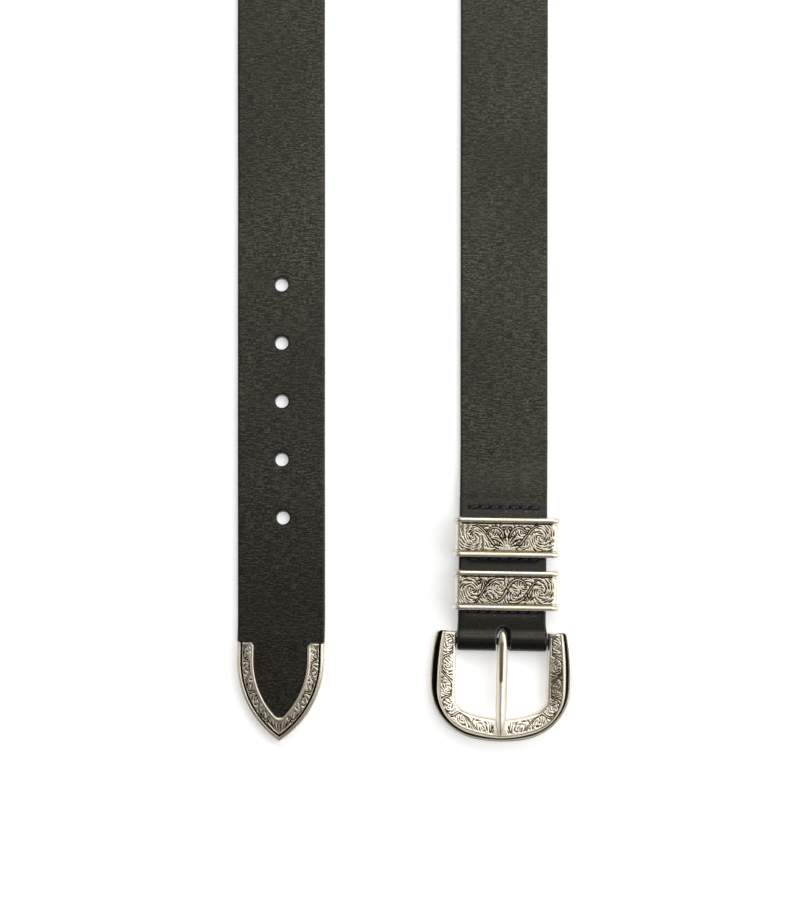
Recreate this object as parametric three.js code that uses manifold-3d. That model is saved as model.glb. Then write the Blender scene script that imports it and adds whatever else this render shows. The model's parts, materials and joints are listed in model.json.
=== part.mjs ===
// A drover belt: one long leather strap with five holes, a pointed metal tip,
// two metal keepers and a horseshoe-shaped buckle with a prong.
// Millimetres, +Z up. The belt lies on z = 0 as a hairpin: both ends lie flat, grain side up,
// pointing to -Y, and the middle of the strap stands on its edge and goes round at +Y.
import * as THREE from 'three';
import { mergeVertices } from 'three/addons/utils/BufferGeometryUtils.js';
import Module from 'manifold-3d';

const wasm = await Module();
wasm.setup();

const clearance = 0.3; // between pieces that rest on each other

// Strap
const strapWidth = 38;
const strapThickness = 3;
const foldThickness = 2.2; // the leather is pared down where it folds round the bar
const turnBackEndThickness = 1.6;
const foldToMiddleHole = 864; // a 34 inch belt
const middleHoleToTip = 148.3;
const holePitch = 25.4;
const holeAsides = [0.7, 0.2, 0.2, 0.1, 0.1]; // from the centre line, the first nearest the tip
const holeRadius = 3;
const strandSpacing = 97.1; // between the centre lines of the two ends
const twistLength = 114; // over which the strap turns from flat to standing on its edge
const straightOnEdge = 4;

// Buckle end, with distances along the strap measured from the bar's axis
const barRadius = 1.5;
const foldInnerRadius = barRadius + 0.45;
const foldOuterRadius = foldInnerRadius + foldThickness;
const barHeight = foldOuterRadius;
const barFromTipLine = 43.7; // the bar lies this far up the strap from the level of the tip
const turnBackLength = 62.4;
const stitchRows = { lower: 12.7, middle: 35.5, upper: 58.3 };
const seamFromBar = 84; // above this the strap is flat on the ground
const buckleEndLean = THREE.MathUtils.degToRad(0.9); // the buckle end lies a little askew
const slotWidth = 6.2;
const slotEnd = 6.9;

// Keepers
const keeperLength = 17.1;
const keepers = [
  { name: 'keeper_lower', fromBar: 22.8, aside: 1.35 },
  { name: 'keeper_upper', fromBar: 45.6, aside: 1.2 },
];
const keeperHalfWidth = 22.2;
const keeperWall = 1.4;
const keeperCornerRadius = 2.6;
const keeperBarLength = 8;
const keeperBarThickness = 1;
const passageHeight = 5.3; // room for the belt's tip over the strap
const plateThickness = 1.5;
const railWidth = 2.6;
const railProud = 0.9;

// Buckle frame, seen from above with the bar's axis at y = 0
const buckle = { aside: 0.35, lean: THREE.MathUtils.degToRad(0.5) }; // in the fold
const armTop = 4;
const frameEnd = -43.95;
const frameThickness = 7.6;
const outerSide = { halfWidth: 30.7, widestAt: -15.9, radius: 85 };
const outerCornerRadius = 18;
const outerEndRadius = 58;
const windowHalfWidth = 19.9;
const windowEnd = -33.8;
const windowCornerRadius = 7;
const windowEndRadius = 40;

// Prong
const prongWidth = 4.85;
const prongEyeRadius = 3.7;

// Tip, with y = 0 at its point
const tipHalfWidth = 19.2;
const tipArcRadius = 42.5;
const tipLength = 43;
const tipWall = 0.9;
const tipPocketHeight = 2.6;
const tipFrontTop = 4.3;
const tipArmWidth = 7.5;
const tipBackArmWidth = 5.5;
const tipLeatherThickness = tipPocketHeight - 2 * clearance;
const tipLean = THREE.MathUtils.degToRad(1);
const tipAside = -0.2;

// Raised scrollwork
const ribHeight = 0.4;
const ribSink = 0.3;
const ribHalfWidth = 0.34;

const leather = new THREE.MeshStandardMaterial({ color: 0x35342f, roughness: 0.62, metalness: 0 });
const silver = new THREE.MeshStandardMaterial({ color: 0xc9c4b4, roughness: 0.34, metalness: 1 });

// Between solids and geometries

function toSolid(geometry) {
  const bare = new THREE.BufferGeometry();
  bare.setAttribute('position', geometry.getAttribute('position'));
  if (geometry.index) bare.setIndex(geometry.index);
  const merged = mergeVertices(bare, 1e-4);
  const build = (triVerts) =>
    new wasm.Manifold(
      new wasm.Mesh({
        numProp: 3,
        vertProperties: new Float32Array(merged.attributes.position.array),
        triVerts,
      }),
    );
  const triangles = new Uint32Array(merged.index.array);
  const solid = build(triangles);
  if (solid.volume() > 0) return solid;
  for (let i = 0; i < triangles.length; i += 3) {
    [triangles[i + 1], triangles[i + 2]] = [triangles[i + 2], triangles[i + 1]];
  }
  return build(triangles);
}

function toMesh(name, solid, material) {
  const { vertProperties, triVerts, numProp } = solid.getMesh();
  const geometry = new THREE.BufferGeometry();
  const positions = new THREE.InterleavedBuffer(vertProperties, numProp);
  const xyz = new Float32Array(positions.count * 3);
  for (let i = 0; i < positions.count; i++) {
    for (let k = 0; k < 3; k++) xyz[3 * i + k] = vertProperties[numProp * i + k];
  }
  geometry.setAttribute('position', new THREE.BufferAttribute(xyz, 3));
  geometry.setIndex(new THREE.BufferAttribute(triVerts, 1));
  geometry.computeVertexNormals();
  const mesh = new THREE.Mesh(geometry, material);
  mesh.name = name;
  return mesh;
}

// A closed solid through a row of rings, each a list of the same number of points.
function loft(rings) {
  const size = rings[0].length;
  const positions = rings.flat().flatMap((p) => [p.x, p.y, p.z]);
  const index = [];
  for (let i = 0; i + 1 < rings.length; i++) {
    for (let k = 0; k < size; k++) {
      const a = i * size + k;
      const b = i * size + ((k + 1) % size);
      index.push(a, b, b + size, a, b + size, a + size);
    }
  }
  const cap = (ring, flip) => {
    const base = ring * size;
    const [u, v] = [rings[ring][1].clone().sub(rings[ring][0]), new THREE.Vector3()];
    const normal = new THREE.Vector3();
    for (let k = 1; k + 1 < size; k++) {
      v.copy(rings[ring][k + 1]).sub(rings[ring][0]);
      u.copy(rings[ring][k]).sub(rings[ring][0]);
      normal.add(u.cross(v));
    }
    normal.normalize();
    const side = Math.abs(normal.z) < 0.9 ? new THREE.Vector3(0, 0, 1) : new THREE.Vector3(0, 1, 0);
    const x = side.clone().cross(normal).normalize();
    const y = normal.clone().cross(x);
    const flat = rings[ring].map((p) => new THREE.Vector2(p.dot(x), p.dot(y)));
    for (const [a, b, c] of THREE.ShapeUtils.triangulateShape(flat, [])) {
      if (flip) index.push(base + a, base + c, base + b);
      else index.push(base + a, base + b, base + c);
    }
  };
  cap(0, true);
  cap(rings.length - 1, false);
  const geometry = new THREE.BufferGeometry();
  geometry.setAttribute('position', new THREE.Float32BufferAttribute(positions, 3));
  geometry.setIndex(index);
  return toSolid(geometry);
}

// A shape drawn in x and y, raised from one height to another.
function slab(shape, low, high, curveSegments = 12) {
  const geometry = new THREE.ExtrudeGeometry(shape, {
    depth: high - low,
    bevelEnabled: false,
    curveSegments,
  });
  return toSolid(geometry.translate(0, 0, low));
}

// A shape drawn in y (its own x) and z (its own y), given a width along x.
function wallAcross(shape, width, curveSegments = 8) {
  const geometry = new THREE.ExtrudeGeometry(shape, {
    depth: width,
    bevelEnabled: false,
    curveSegments,
  });
  geometry.translate(0, 0, -width / 2);
  const toYZ = new THREE.Matrix4().makeBasis(
    new THREE.Vector3(0, 1, 0),
    new THREE.Vector3(0, 0, 1),
    new THREE.Vector3(1, 0, 0),
  );
  return toSolid(geometry.applyMatrix4(toYZ));
}

// A shape drawn in x and z (its own y), given a length along y.
function wallAlong(shape, from, to, bevel = 0) {
  const geometry = new THREE.ExtrudeGeometry(shape, {
    depth: to - from - 2 * bevel,
    bevelEnabled: bevel > 0,
    bevelThickness: bevel,
    bevelSize: bevel,
    bevelOffset: -bevel,
    bevelSegments: 1,
    curveSegments: 4,
  });
  geometry.rotateX(Math.PI / 2);
  return toSolid(geometry.translate(0, to - bevel, 0));
}

function rodAcross(radius, length, height, sides = 24) {
  const geometry = new THREE.CylinderGeometry(radius, radius, length, sides);
  return toSolid(geometry.rotateZ(Math.PI / 2).translate(0, 0, height));
}

const ease = (t) => t * t * (3 - 2 * t);

// The value of a column at a distance, from rows in rising order, with a soft step between rows.
function along(rows, distance, column) {
  if (distance <= rows[0].at) return rows[0][column];
  for (let i = 0; i + 1 < rows.length; i++) {
    const [a, b] = [rows[i], rows[i + 1]];
    if (distance <= b.at) {
      return a[column] + (b[column] - a[column]) * ease((distance - a.at) / (b.at - a.at));
    }
  }
  return rows[rows.length - 1][column];
}

// Tip outline: straight sides, then one arc on each side that meet in a point

const tipArcStart = Math.sqrt(2 * tipArcRadius * tipHalfWidth - tipHalfWidth ** 2);
const tipArcOffset = tipArcRadius - tipHalfWidth;

function tipHalfWidthAt(y, inset) {
  if (y >= tipArcStart) return tipHalfWidth - inset;
  const reach = (tipArcRadius - inset) ** 2 - (tipArcStart - y) ** 2;
  return Math.sqrt(Math.max(reach, 0)) - tipArcOffset;
}

function tipPointAt(inset, pointRadius = 0) {
  const reach = Math.sqrt((tipArcRadius - inset - pointRadius) ** 2 - tipArcOffset ** 2);
  return { centre: tipArcStart - reach, angle: Math.atan2(-reach, tipArcOffset) };
}

function tipShape(inset, mouth, pointRadius = 0) {
  const { centre, angle } = tipPointAt(inset, pointRadius);
  const shape = new THREE.Shape();
  const radius = tipArcRadius - inset;
  shape.moveTo(tipHalfWidth - inset, mouth);
  shape.lineTo(tipHalfWidth - inset, tipArcStart);
  shape.absarc(-tipArcOffset, tipArcStart, radius, 0, angle, true);
  if (pointRadius > 0) shape.absarc(0, centre, pointRadius, angle, -Math.PI - angle, true);
  shape.absarc(tipArcOffset, tipArcStart, radius, -Math.PI - angle, -Math.PI, true);
  shape.lineTo(-tipHalfWidth + inset, mouth);
  shape.closePath();
  return shape;
}

// Scrollwork: a waving stem with a scroll curling into each of its bends

function scrollPaths({ length, height, scrolls, turns = 1.15 }) {
  const bend = length / scrolls;
  const swing = height * 0.3;
  const paths = [];
  const stem = [];
  const stemSteps = 4 * scrolls;
  for (let i = 0; i <= stemSteps; i++) {
    const u = (length * i) / stemSteps - length / 2;
    stem.push(new THREE.Vector2(u, swing * Math.cos((Math.PI * (u + length / 2)) / bend)));
  }
  paths.push(stem);
  for (let i = 0; i < scrolls; i++) {
    const side = i % 2 ? 1 : -1;
    const centre = new THREE.Vector2(-length / 2 + bend * (i + 1), side * swing * -0.35);
    const reach = Math.min(bend * 0.52, height * 0.36);
    const curl = [];
    const steps = 8;
    for (let k = 0; k <= steps; k++) {
      const t = k / steps;
      const radius = reach * (1 - 0.82 * t);
      const angle = side * (Math.PI * 0.85 - 2 * Math.PI * turns * t);
      curl.push(
        new THREE.Vector2(centre.x + radius * Math.cos(angle), centre.y + radius * Math.sin(angle)),
      );
    }
    if (i + 1 < scrolls) paths.push(curl);
  }
  return paths;
}

// A raised rib with a ridge on top, along a path drawn on a surface.
// onSurface takes a point of the path and gives its place and its upward direction.
function rib(path, onSurface) {
  const spots = path.map((p) => onSurface(p.x, p.y));
  const rings = spots.map(({ place, up }, i) => {
    const ahead = spots[Math.min(i + 1, spots.length - 1)].place;
    const behind = spots[Math.max(i - 1, 0)].place;
    const heading = ahead.clone().sub(behind).normalize();
    const side = heading.cross(up).normalize();
    const taper = 0.45 + 0.55 * Math.sin((Math.PI * (i + 0.5)) / spots.length);
    const corner = (across, rise) =>
      place.clone().addScaledVector(side, across * taper).addScaledVector(up, rise);
    return [
      corner(ribHalfWidth, -ribSink),
      corner(0, ribHeight),
      corner(-ribHalfWidth, -ribSink),
    ];
  });
  return loft(rings);
}

function withScrolls(solid, layout, onSurface) {
  return scrollPaths(layout).reduce((body, path) => body.add(rib(path, onSurface)), solid);
}

// Strap

// Upper layer of the buckle end: its underside and thickness. It is pinched down
// at each row of stitches and goes over the back bars of the keepers between them.
const overTurnBack = foldThickness + clearance;
const overKeeperBar = foldThickness + 2 * clearance + keeperBarThickness;
const upperLayer = [
  { at: 0, underside: barHeight + foldInnerRadius, thickness: foldThickness },
  { at: 8, underside: overTurnBack + 0.7, thickness: 2.7 },
  { at: stitchRows.lower, underside: overTurnBack, thickness: strapThickness },
  { at: 17, underside: overKeeperBar, thickness: strapThickness },
  { at: 26.6, underside: overKeeperBar, thickness: strapThickness },
  { at: stitchRows.middle, underside: overTurnBack, thickness: strapThickness },
  { at: 40, underside: overKeeperBar, thickness: strapThickness },
  { at: 49.7, underside: overKeeperBar, thickness: strapThickness },
  { at: stitchRows.upper, underside: overTurnBack, thickness: strapThickness },
  { at: turnBackLength, underside: turnBackEndThickness + clearance, thickness: strapThickness },
  { at: 80, underside: 0, thickness: strapThickness },
  { at: seamFromBar, underside: 0, thickness: strapThickness },
];

function upperLayerSteps() {
  const steps = [];
  for (let i = 0; i + 1 < upperLayer.length; i++) {
    const [a, b] = [upperLayer[i], upperLayer[i + 1]];
    const count = a.underside === b.underside ? 1 : 6;
    for (let k = 0; k < count; k++) steps.push(a.at + ((b.at - a.at) * k) / count);
  }
  return [...steps, seamFromBar];
}

function buckleEndOfStrap() {
  const steps = upperLayerSteps();
  const underside = (y) => along(upperLayer, y, 'underside');
  const top = (y) => underside(y) + along(upperLayer, y, 'thickness');
  const profile = new THREE.Shape();
  profile.moveTo(seamFromBar, top(seamFromBar));
  for (const y of [...steps].reverse()) profile.lineTo(y, top(y));
  profile.absarc(0, barHeight, foldOuterRadius, Math.PI / 2, (Math.PI * 3) / 2, false);
  profile.lineTo(turnBackLength, 0);
  profile.lineTo(turnBackLength, turnBackEndThickness);
  profile.lineTo(stitchRows.upper - 6, foldThickness);
  profile.lineTo(0, foldThickness);
  profile.absarc(0, barHeight, foldInnerRadius, (Math.PI * 3) / 2, Math.PI / 2, true);
  for (const y of steps.slice(1)) profile.lineTo(y, underside(y));
  profile.closePath();
  const layers = wallAcross(profile, strapWidth, 12);

  const slot = new THREE.Shape();
  slot.moveTo(-slotWidth / 2, -2 * foldOuterRadius);
  slot.lineTo(slotWidth / 2, -2 * foldOuterRadius);
  slot.absarc(0, slotEnd - slotWidth / 2, slotWidth / 2, 0, Math.PI, false);
  slot.closePath();
  return layers.subtract(slab(slot, -1, 2 * foldOuterRadius + 1, 8));
}

// A frame at x and y, leaning clockwise about a point that lies further up its own y.
function leaningPlace(x, y, lean, pivot) {
  return new THREE.Matrix4()
    .makeTranslation(x, y + pivot, 0)
    .multiply(new THREE.Matrix4().makeRotationZ(-lean))
    .multiply(new THREE.Matrix4().makeTranslation(0, -pivot, 0));
}

// The buckle end's own frame: its origin is under the bar's axis, at ground level.
const buckleEndPlace = leaningPlace(strandSpacing / 2, barFromTipLine, buckleEndLean, seamFromBar);

// Inside the tip the leather is pared down and lies between the tip's two walls.
const tipEndLayer = [
  { at: tipLength, underside: tipWall + clearance, thickness: tipLeatherThickness },
  { at: tipLength + 14, underside: 0, thickness: strapThickness },
];
const leatherInset = tipWall + clearance;
const strapLength = foldToMiddleHole + middleHoleToTip;
const loopRadius = strandSpacing / 2;
const foldEndY = barFromTipLine - foldOuterRadius;
const loopCentreY = (strapLength - Math.PI * loopRadius + foldEndY) / 2;
const tipPlace = leaningPlace(tipAside - loopRadius, 0, tipLean, tipLength);
const twistEndY = loopCentreY - straightOnEdge;
const twistStartY = twistEndY - twistLength;

// One cross-section of the strap: heading is the way along it and tilt its turn
// about that way, 0 for flat with the grain side up and a quarter turn for on edge.
function strapSection({ centre, heading, tilt, halfWidth, thickness }) {
  const right = new THREE.Vector3(heading.y, -heading.x, 0);
  const up = new THREE.Vector3(0, 0, 1);
  const across = right.clone().multiplyScalar(Math.cos(tilt)).addScaledVector(up, Math.sin(tilt));
  const normal = right.clone().multiplyScalar(-Math.sin(tilt)).addScaledVector(up, Math.cos(tilt));
  const corner = (a, n) =>
    centre.clone().addScaledVector(across, a * halfWidth).addScaledVector(normal, (n * thickness) / 2);
  return [corner(1, 1), corner(-1, 1), corner(-1, -1), corner(1, -1)];
}

// The height of the middle of the section when its lowest corner touches the ground.
function restingHeight(tilt) {
  return (strapWidth / 2) * Math.sin(tilt) + (strapThickness / 2) * Math.cos(tilt);
}

function longSections() {
  const sections = [];
  const halfWidth = strapWidth / 2;
  const north = new THREE.Vector3(0, 1, 0);
  const south = new THREE.Vector3(0, -1, 0);

  const tipStation = (y, width, place) => {
    const thickness = along(tipEndLayer, y, 'thickness');
    const height = along(tipEndLayer, y, 'underside') + thickness / 2;
    const centre = new THREE.Vector3(0, y, height).applyMatrix4(place);
    const heading = north.clone().transformDirection(place);
    sections.push(strapSection({ centre, heading, tilt: 0, halfWidth: width, thickness }));
  };
  const straightPlace = leaningPlace(-loopRadius, 0, 0, 0);
  const leatherPoint = tipPointAt(leatherInset).centre;
  const arcSteps = 14;
  for (let i = 0; i <= arcSteps; i++) {
    const y = leatherPoint + 0.15 + (tipArcStart - leatherPoint) * (i / arcSteps) ** 1.4;
    tipStation(y, tipHalfWidthAt(y, leatherInset), tipPlace);
  }
  const shoulder = tipLength + clearance;
  tipStation(shoulder, tipHalfWidth - leatherInset, tipPlace);
  tipStation(shoulder, halfWidth, tipPlace);
  for (let i = 1; i <= 6; i++) tipStation(tipLength + (14 * i) / 6, halfWidth, straightPlace);

  const flatStation = (x, y, heading, tilt) => {
    const centre = new THREE.Vector3(x, y, restingHeight(tilt));
    sections.push(strapSection({ centre, heading, tilt, halfWidth, thickness: strapThickness }));
  };
  const twistSteps = 14;
  for (let i = 0; i <= twistSteps; i++) {
    const t = i / twistSteps;
    flatStation(-loopRadius, twistStartY + twistLength * t, north, (Math.PI / 2) * ease(t));
  }
  const loopSteps = 24;
  for (let i = 0; i <= loopSteps; i++) {
    const angle = Math.PI * (1 - i / loopSteps);
    const heading = new THREE.Vector3(Math.sin(angle), -Math.cos(angle), 0);
    const x = loopRadius * Math.cos(angle);
    flatStation(x, loopCentreY + loopRadius * Math.sin(angle), heading, Math.PI / 2);
  }
  for (let i = 0; i <= twistSteps; i++) {
    const t = i / twistSteps;
    flatStation(loopRadius, twistEndY - twistLength * t, south, (Math.PI / 2) * ease(1 - t));
  }
  const lastY = seamFromBar - 1;
  for (const y of [seamFromBar + 6, lastY]) {
    const centre = new THREE.Vector3(0, y, strapThickness / 2).applyMatrix4(buckleEndPlace);
    const heading = south.clone().transformDirection(buckleEndPlace);
    sections.push(strapSection({ centre, heading, tilt: 0, halfWidth, thickness: strapThickness }));
  }
  return sections;
}

function makeStrap() {
  let strap = loft(longSections());
  strap = strap.add(buckleEndOfStrap().transform(buckleEndPlace.elements));
  holeAsides.forEach((aside, i) => {
    const y = middleHoleToTip + (i - (holeAsides.length - 1) / 2) * holePitch;
    const punch = new THREE.CylinderGeometry(holeRadius, holeRadius, 3 * strapThickness, 24);
    punch.rotateX(Math.PI / 2).translate(aside - loopRadius, y, strapThickness / 2);
    strap = strap.subtract(toSolid(punch));
  });
  return toMesh('strap', strap, leather);
}

// Tip: a channel that grips the end of the strap, open at its mouth

function makeTip() {
  const mouth = tipLength;
  const past = tipLength + 5;
  const pocketTop = tipWall + tipPocketHeight;
  const groove = { from: 1.8, to: 2.6, floor: 4 };
  const border = { width: 1.3, top: 4.75 };
  const bandTop = 4.45;
  const windowPointRadius = 3;
  const armCornerRadius = 2;

  let tip = slab(tipShape(0, mouth), 0, tipFrontTop);
  tip = tip.subtract(
    slab(tipShape(groove.from, past), groove.floor, 9).subtract(
      slab(tipShape(groove.to, past), groove.floor - 1, 9),
    ),
  );
  tip = tip.add(slab(tipShape(groove.to, mouth), tipFrontTop - 0.5, bandTop));
  tip = tip.add(slab(tipShape(tipArmWidth - border.width, mouth, 3), bandTop - 0.5, border.top));
  tip = tip.subtract(slab(tipShape(tipWall, past), tipWall, pocketTop));
  tip = tip.subtract(slab(tipShape(tipArmWidth, past, windowPointRadius), tipWall + 0.5, 9));
  tip = tip.subtract(slab(tipShape(tipBackArmWidth, past, windowPointRadius), -1, tipWall + 0.5));

  // The inner corners of the arms' ends are round.
  const corner = new THREE.Shape();
  const innerX = tipHalfWidth - tipArmWidth;
  corner.moveTo(innerX - 1, mouth + 1);
  corner.lineTo(innerX - 1, mouth - armCornerRadius);
  corner.lineTo(innerX, mouth - armCornerRadius);
  corner.absarc(innerX + armCornerRadius, mouth - armCornerRadius, armCornerRadius, Math.PI, Math.PI / 2, true);
  corner.lineTo(innerX + armCornerRadius, mouth + 1);
  corner.closePath();
  const cornerCut = slab(corner, pocketTop - 0.5, 9, 6);
  tip = tip.subtract(cornerCut).subtract(cornerCut.mirror([1, 0, 0]));

  // Scrollwork runs up each arm, halfway between the groove and the border.
  const bandMiddle = (groove.to + tipArmWidth - border.width) / 2;
  const armStart = 9;
  const armReach = mouth - 1.5 - armStart;
  for (const side of [1, -1]) {
    const onArm = (u, v) => {
      const y = armStart + armReach / 2 + u;
      const place = new THREE.Vector3(side * tipHalfWidthAt(y, bandMiddle + v), y, bandTop);
      return { place, up: new THREE.Vector3(0, 0, 1) };
    };
    const layout = { length: armReach, height: 3.2, scrolls: 5, turns: 1 };
    tip = withScrolls(tip, layout, onArm);
  }
  return toMesh('tip', tip, silver);
}

// Keepers: a front plate with a rail along each edge, side walls, and a bar behind

const keeperInnerHalf = keeperHalfWidth - keeperWall;
const keeperBottom = foldThickness + clearance;
const strapTopAtKeeper = overKeeperBar + strapThickness;
const plateUnderside = strapTopAtKeeper + passageHeight;
const plateTop = plateUnderside + plateThickness;
const sideEnd = keeperBottom + 3.4;

function archShape(grow, low, withBar) {
  const half = keeperHalfWidth + grow;
  const top = plateTop + grow;
  const radius = keeperCornerRadius + grow;
  const shape = new THREE.Shape();
  shape.moveTo(-half, low);
  if (withBar) {
    shape.lineTo(half, low);
  } else {
    shape.lineTo(-keeperInnerHalf, low);
    shape.lineTo(-keeperInnerHalf, plateUnderside - 1);
    shape.absarc(1 - keeperInnerHalf, plateUnderside - 1, 1, Math.PI, Math.PI / 2, true);
    shape.absarc(keeperInnerHalf - 1, plateUnderside - 1, 1, Math.PI / 2, 0, true);
    shape.lineTo(keeperInnerHalf, low);
    shape.lineTo(half, low);
  }
  shape.absarc(half - radius, top - radius, radius, 0, Math.PI / 2, false);
  shape.absarc(radius - half, top - radius, radius, Math.PI / 2, Math.PI, false);
  shape.closePath();
  return shape;
}

function makeKeeper(name) {
  const half = keeperLength / 2;
  let keeper = wallAlong(archShape(0, sideEnd, false), -half, half);
  for (const from of [-half, half - railWidth]) {
    keeper = keeper.add(wallAlong(archShape(railProud, sideEnd, false), from, from + railWidth, 0.5));
  }
  const ring = archShape(0, keeperBottom, true);
  const hollow = new THREE.Path();
  hollow.moveTo(-keeperInnerHalf, keeperBottom + keeperBarThickness);
  hollow.lineTo(-keeperInnerHalf, plateUnderside);
  hollow.lineTo(keeperInnerHalf, plateUnderside);
  hollow.lineTo(keeperInnerHalf, keeperBottom + keeperBarThickness);
  hollow.closePath();
  ring.holes.push(hollow);
  keeper = keeper.add(wallAlong(ring, -keeperBarLength / 2, keeperBarLength / 2));
  const onPlate = (u, v) => ({
    place: new THREE.Vector3(u, v, plateTop),
    up: new THREE.Vector3(0, 0, 1),
  });
  const panelHeight = keeperLength - 2 * railWidth;
  const layout = { length: 39, height: panelHeight - 1.2, scrolls: 6, turns: 1.3 };
  return toMesh(name, withScrolls(keeper, layout, onPlate), silver);
}

// Buckle frame: its section is drawn between an outer and an inner outline

// Points down the right half of an outline, in three stretches: side, corner and end.
function halfOutline({ side, corner, end }, counts) {
  const points = [];
  for (const [stretch, count] of [[side, counts.side], [corner, counts.corner], [end, counts.end]]) {
    for (let i = 0; i < count; i++) points.push(stretch(i / count));
  }
  points.push(end(1));
  return points;
}

function arc(cx, cy, radius, from, to) {
  return (t) => {
    const angle = from + (to - from) * t;
    return new THREE.Vector2(cx + radius * Math.cos(angle), cy + radius * Math.sin(angle));
  };
}

// Where a corner circle lies that touches two larger circles from inside.
function cornerCentre(a, b, radius) {
  const [ra, rb] = [a.radius - radius, b.radius - radius];
  const d = Math.hypot(b.x - a.x, b.y - a.y);
  const t = (ra ** 2 - rb ** 2 + d ** 2) / (2 * d);
  const h = Math.sqrt(ra ** 2 - t ** 2);
  const [ux, uy] = [(b.x - a.x) / d, (b.y - a.y) / d];
  return new THREE.Vector2(a.x + t * ux + h * uy, a.y + t * uy - h * ux);
}

function outerOutline(counts) {
  const side = { x: outerSide.halfWidth - outerSide.radius, y: outerSide.widestAt, radius: outerSide.radius };
  const end = { x: 0, y: frameEnd + outerEndRadius, radius: outerEndRadius };
  const corner = cornerCentre(side, end, outerCornerRadius);
  const top = Math.asin((armTop - side.y) / side.radius);
  const sideToCorner = Math.atan2(corner.y - side.y, corner.x - side.x);
  const endToCorner = Math.atan2(corner.y - end.y, corner.x - end.x);
  return halfOutline(
    {
      side: arc(side.x, side.y, side.radius, top, sideToCorner),
      corner: arc(corner.x, corner.y, outerCornerRadius, sideToCorner, endToCorner),
      end: arc(end.x, end.y, end.radius, endToCorner, -Math.PI / 2),
    },
    counts,
  );
}

function innerOutline(counts) {
  const cornerX = windowHalfWidth - windowCornerRadius;
  const endY = windowEnd + windowEndRadius;
  const cornerY = endY - Math.sqrt((windowEndRadius - windowCornerRadius) ** 2 - cornerX ** 2);
  const endToCorner = Math.atan2(cornerY - endY, cornerX);
  return halfOutline(
    {
      side: (t) => new THREE.Vector2(windowHalfWidth, armTop + (cornerY - armTop) * t),
      corner: arc(cornerX, cornerY, windowCornerRadius, 0, endToCorner),
      end: arc(0, endY, windowEndRadius, endToCorner, -Math.PI / 2),
    },
    counts,
  );
}

function bothHalves(half) {
  const mirrored = half.slice(0, -1).reverse().map((p) => new THREE.Vector2(-p.x, p.y));
  return [...half, ...mirrored];
}

// The section from the outer edge (share 0) to the window (share 1).
const frameSection = [
  { share: 0, height: 0 },
  { share: 0, height: 2.8 },
  { share: 0.04, height: 3.2 },
  { share: 0.09, height: 3.2 },
  { share: 0.11, height: 2.3 },
  { share: 0.22, height: 2.3 },
  { share: 0.24, height: 7 },
  { share: 0.28, height: frameThickness },
  { share: 0.34, height: frameThickness },
  { share: 0.58, height: 7.25 },
  { share: 0.82, height: 6.6 },
  { share: 0.96, height: 6.1 },
  { share: 1, height: 5.8 },
  { share: 1, height: 0 },
];
const bandShares = { from: 0.36, to: 0.82 };

function sectionHeight(share) {
  const top = frameSection.slice(8, -1);
  for (let i = 0; i + 1 < top.length; i++) {
    if (share <= top[i + 1].share) {
      const t = (share - top[i].share) / (top[i + 1].share - top[i].share);
      return THREE.MathUtils.lerp(top[i].height, top[i + 1].height, t);
    }
  }
  return top[top.length - 1].height;
}

function makeBuckleFrame() {
  const counts = { side: 5, corner: 7, end: 4 };
  const outer = bothHalves(outerOutline(counts));
  const inner = bothHalves(innerOutline(counts));
  const rings = outer.map((p, i) =>
    frameSection.map(({ share, height }) => {
      const q = p.clone().lerp(inner[i], share);
      return new THREE.Vector3(q.x, q.y, height);
    }),
  );
  let frame = loft(rings);
  frame = frame.add(rodAcross(barRadius, 2 * (windowHalfWidth + 2.5), barHeight));

  // Scrollwork runs along each half of the band and leaves a plain seat for the prong.
  const fine = { side: 24, corner: 24, end: 16 };
  const [outerHalf, innerHalf] = [outerOutline(fine), innerOutline(fine)];
  const middle = outerHalf.map((p, i) => p.clone().lerp(innerHalf[i], 0.6));
  const travelled = [0];
  for (let i = 1; i < middle.length; i++) {
    travelled.push(travelled[i - 1] + middle[i].distanceTo(middle[i - 1]));
  }
  const seat = 3.4;
  const bandLength = travelled[travelled.length - 1] - seat - 1.5;
  const bandWidth = 4.3;
  for (const side of [1, -1]) {
    const onBand = (u, v) => {
      const distance = u + bandLength / 2 + 1.5;
      let i = travelled.findIndex((d) => d >= distance);
      i = Math.max(1, i < 0 ? travelled.length - 1 : i);
      const t = (distance - travelled[i - 1]) / (travelled[i] - travelled[i - 1]);
      const share = (bandShares.from + bandShares.to) / 2 - v * ((bandShares.to - bandShares.from) / bandWidth);
      const a = outerHalf[i - 1].clone().lerp(outerHalf[i], t);
      const b = innerHalf[i - 1].clone().lerp(innerHalf[i], t);
      const q = a.clone().lerp(b, share);
      const fall = sectionHeight(share - 0.05) - sectionHeight(share + 0.05);
      const inward = b.sub(a);
      const run = inward.length() * 0.1;
      const up = new THREE.Vector3((inward.x / inward.length()) * fall, (inward.y / inward.length()) * fall, run);
      up.normalize();
      const place = new THREE.Vector3(q.x, q.y, sectionHeight(share));
      if (side < 0) {
        place.x *= -1;
        up.x *= -1;
      }
      return { place, up };
    };
    const layout = { length: bandLength, height: bandWidth, scrolls: 8, turns: 1 };
    frame = withScrolls(frame, layout, onBand);
  }
  return toMesh('buckle_frame', frame, silver);
}

// Prong: an eye round the bar and a ridged shank that lies on the end of the frame

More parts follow.
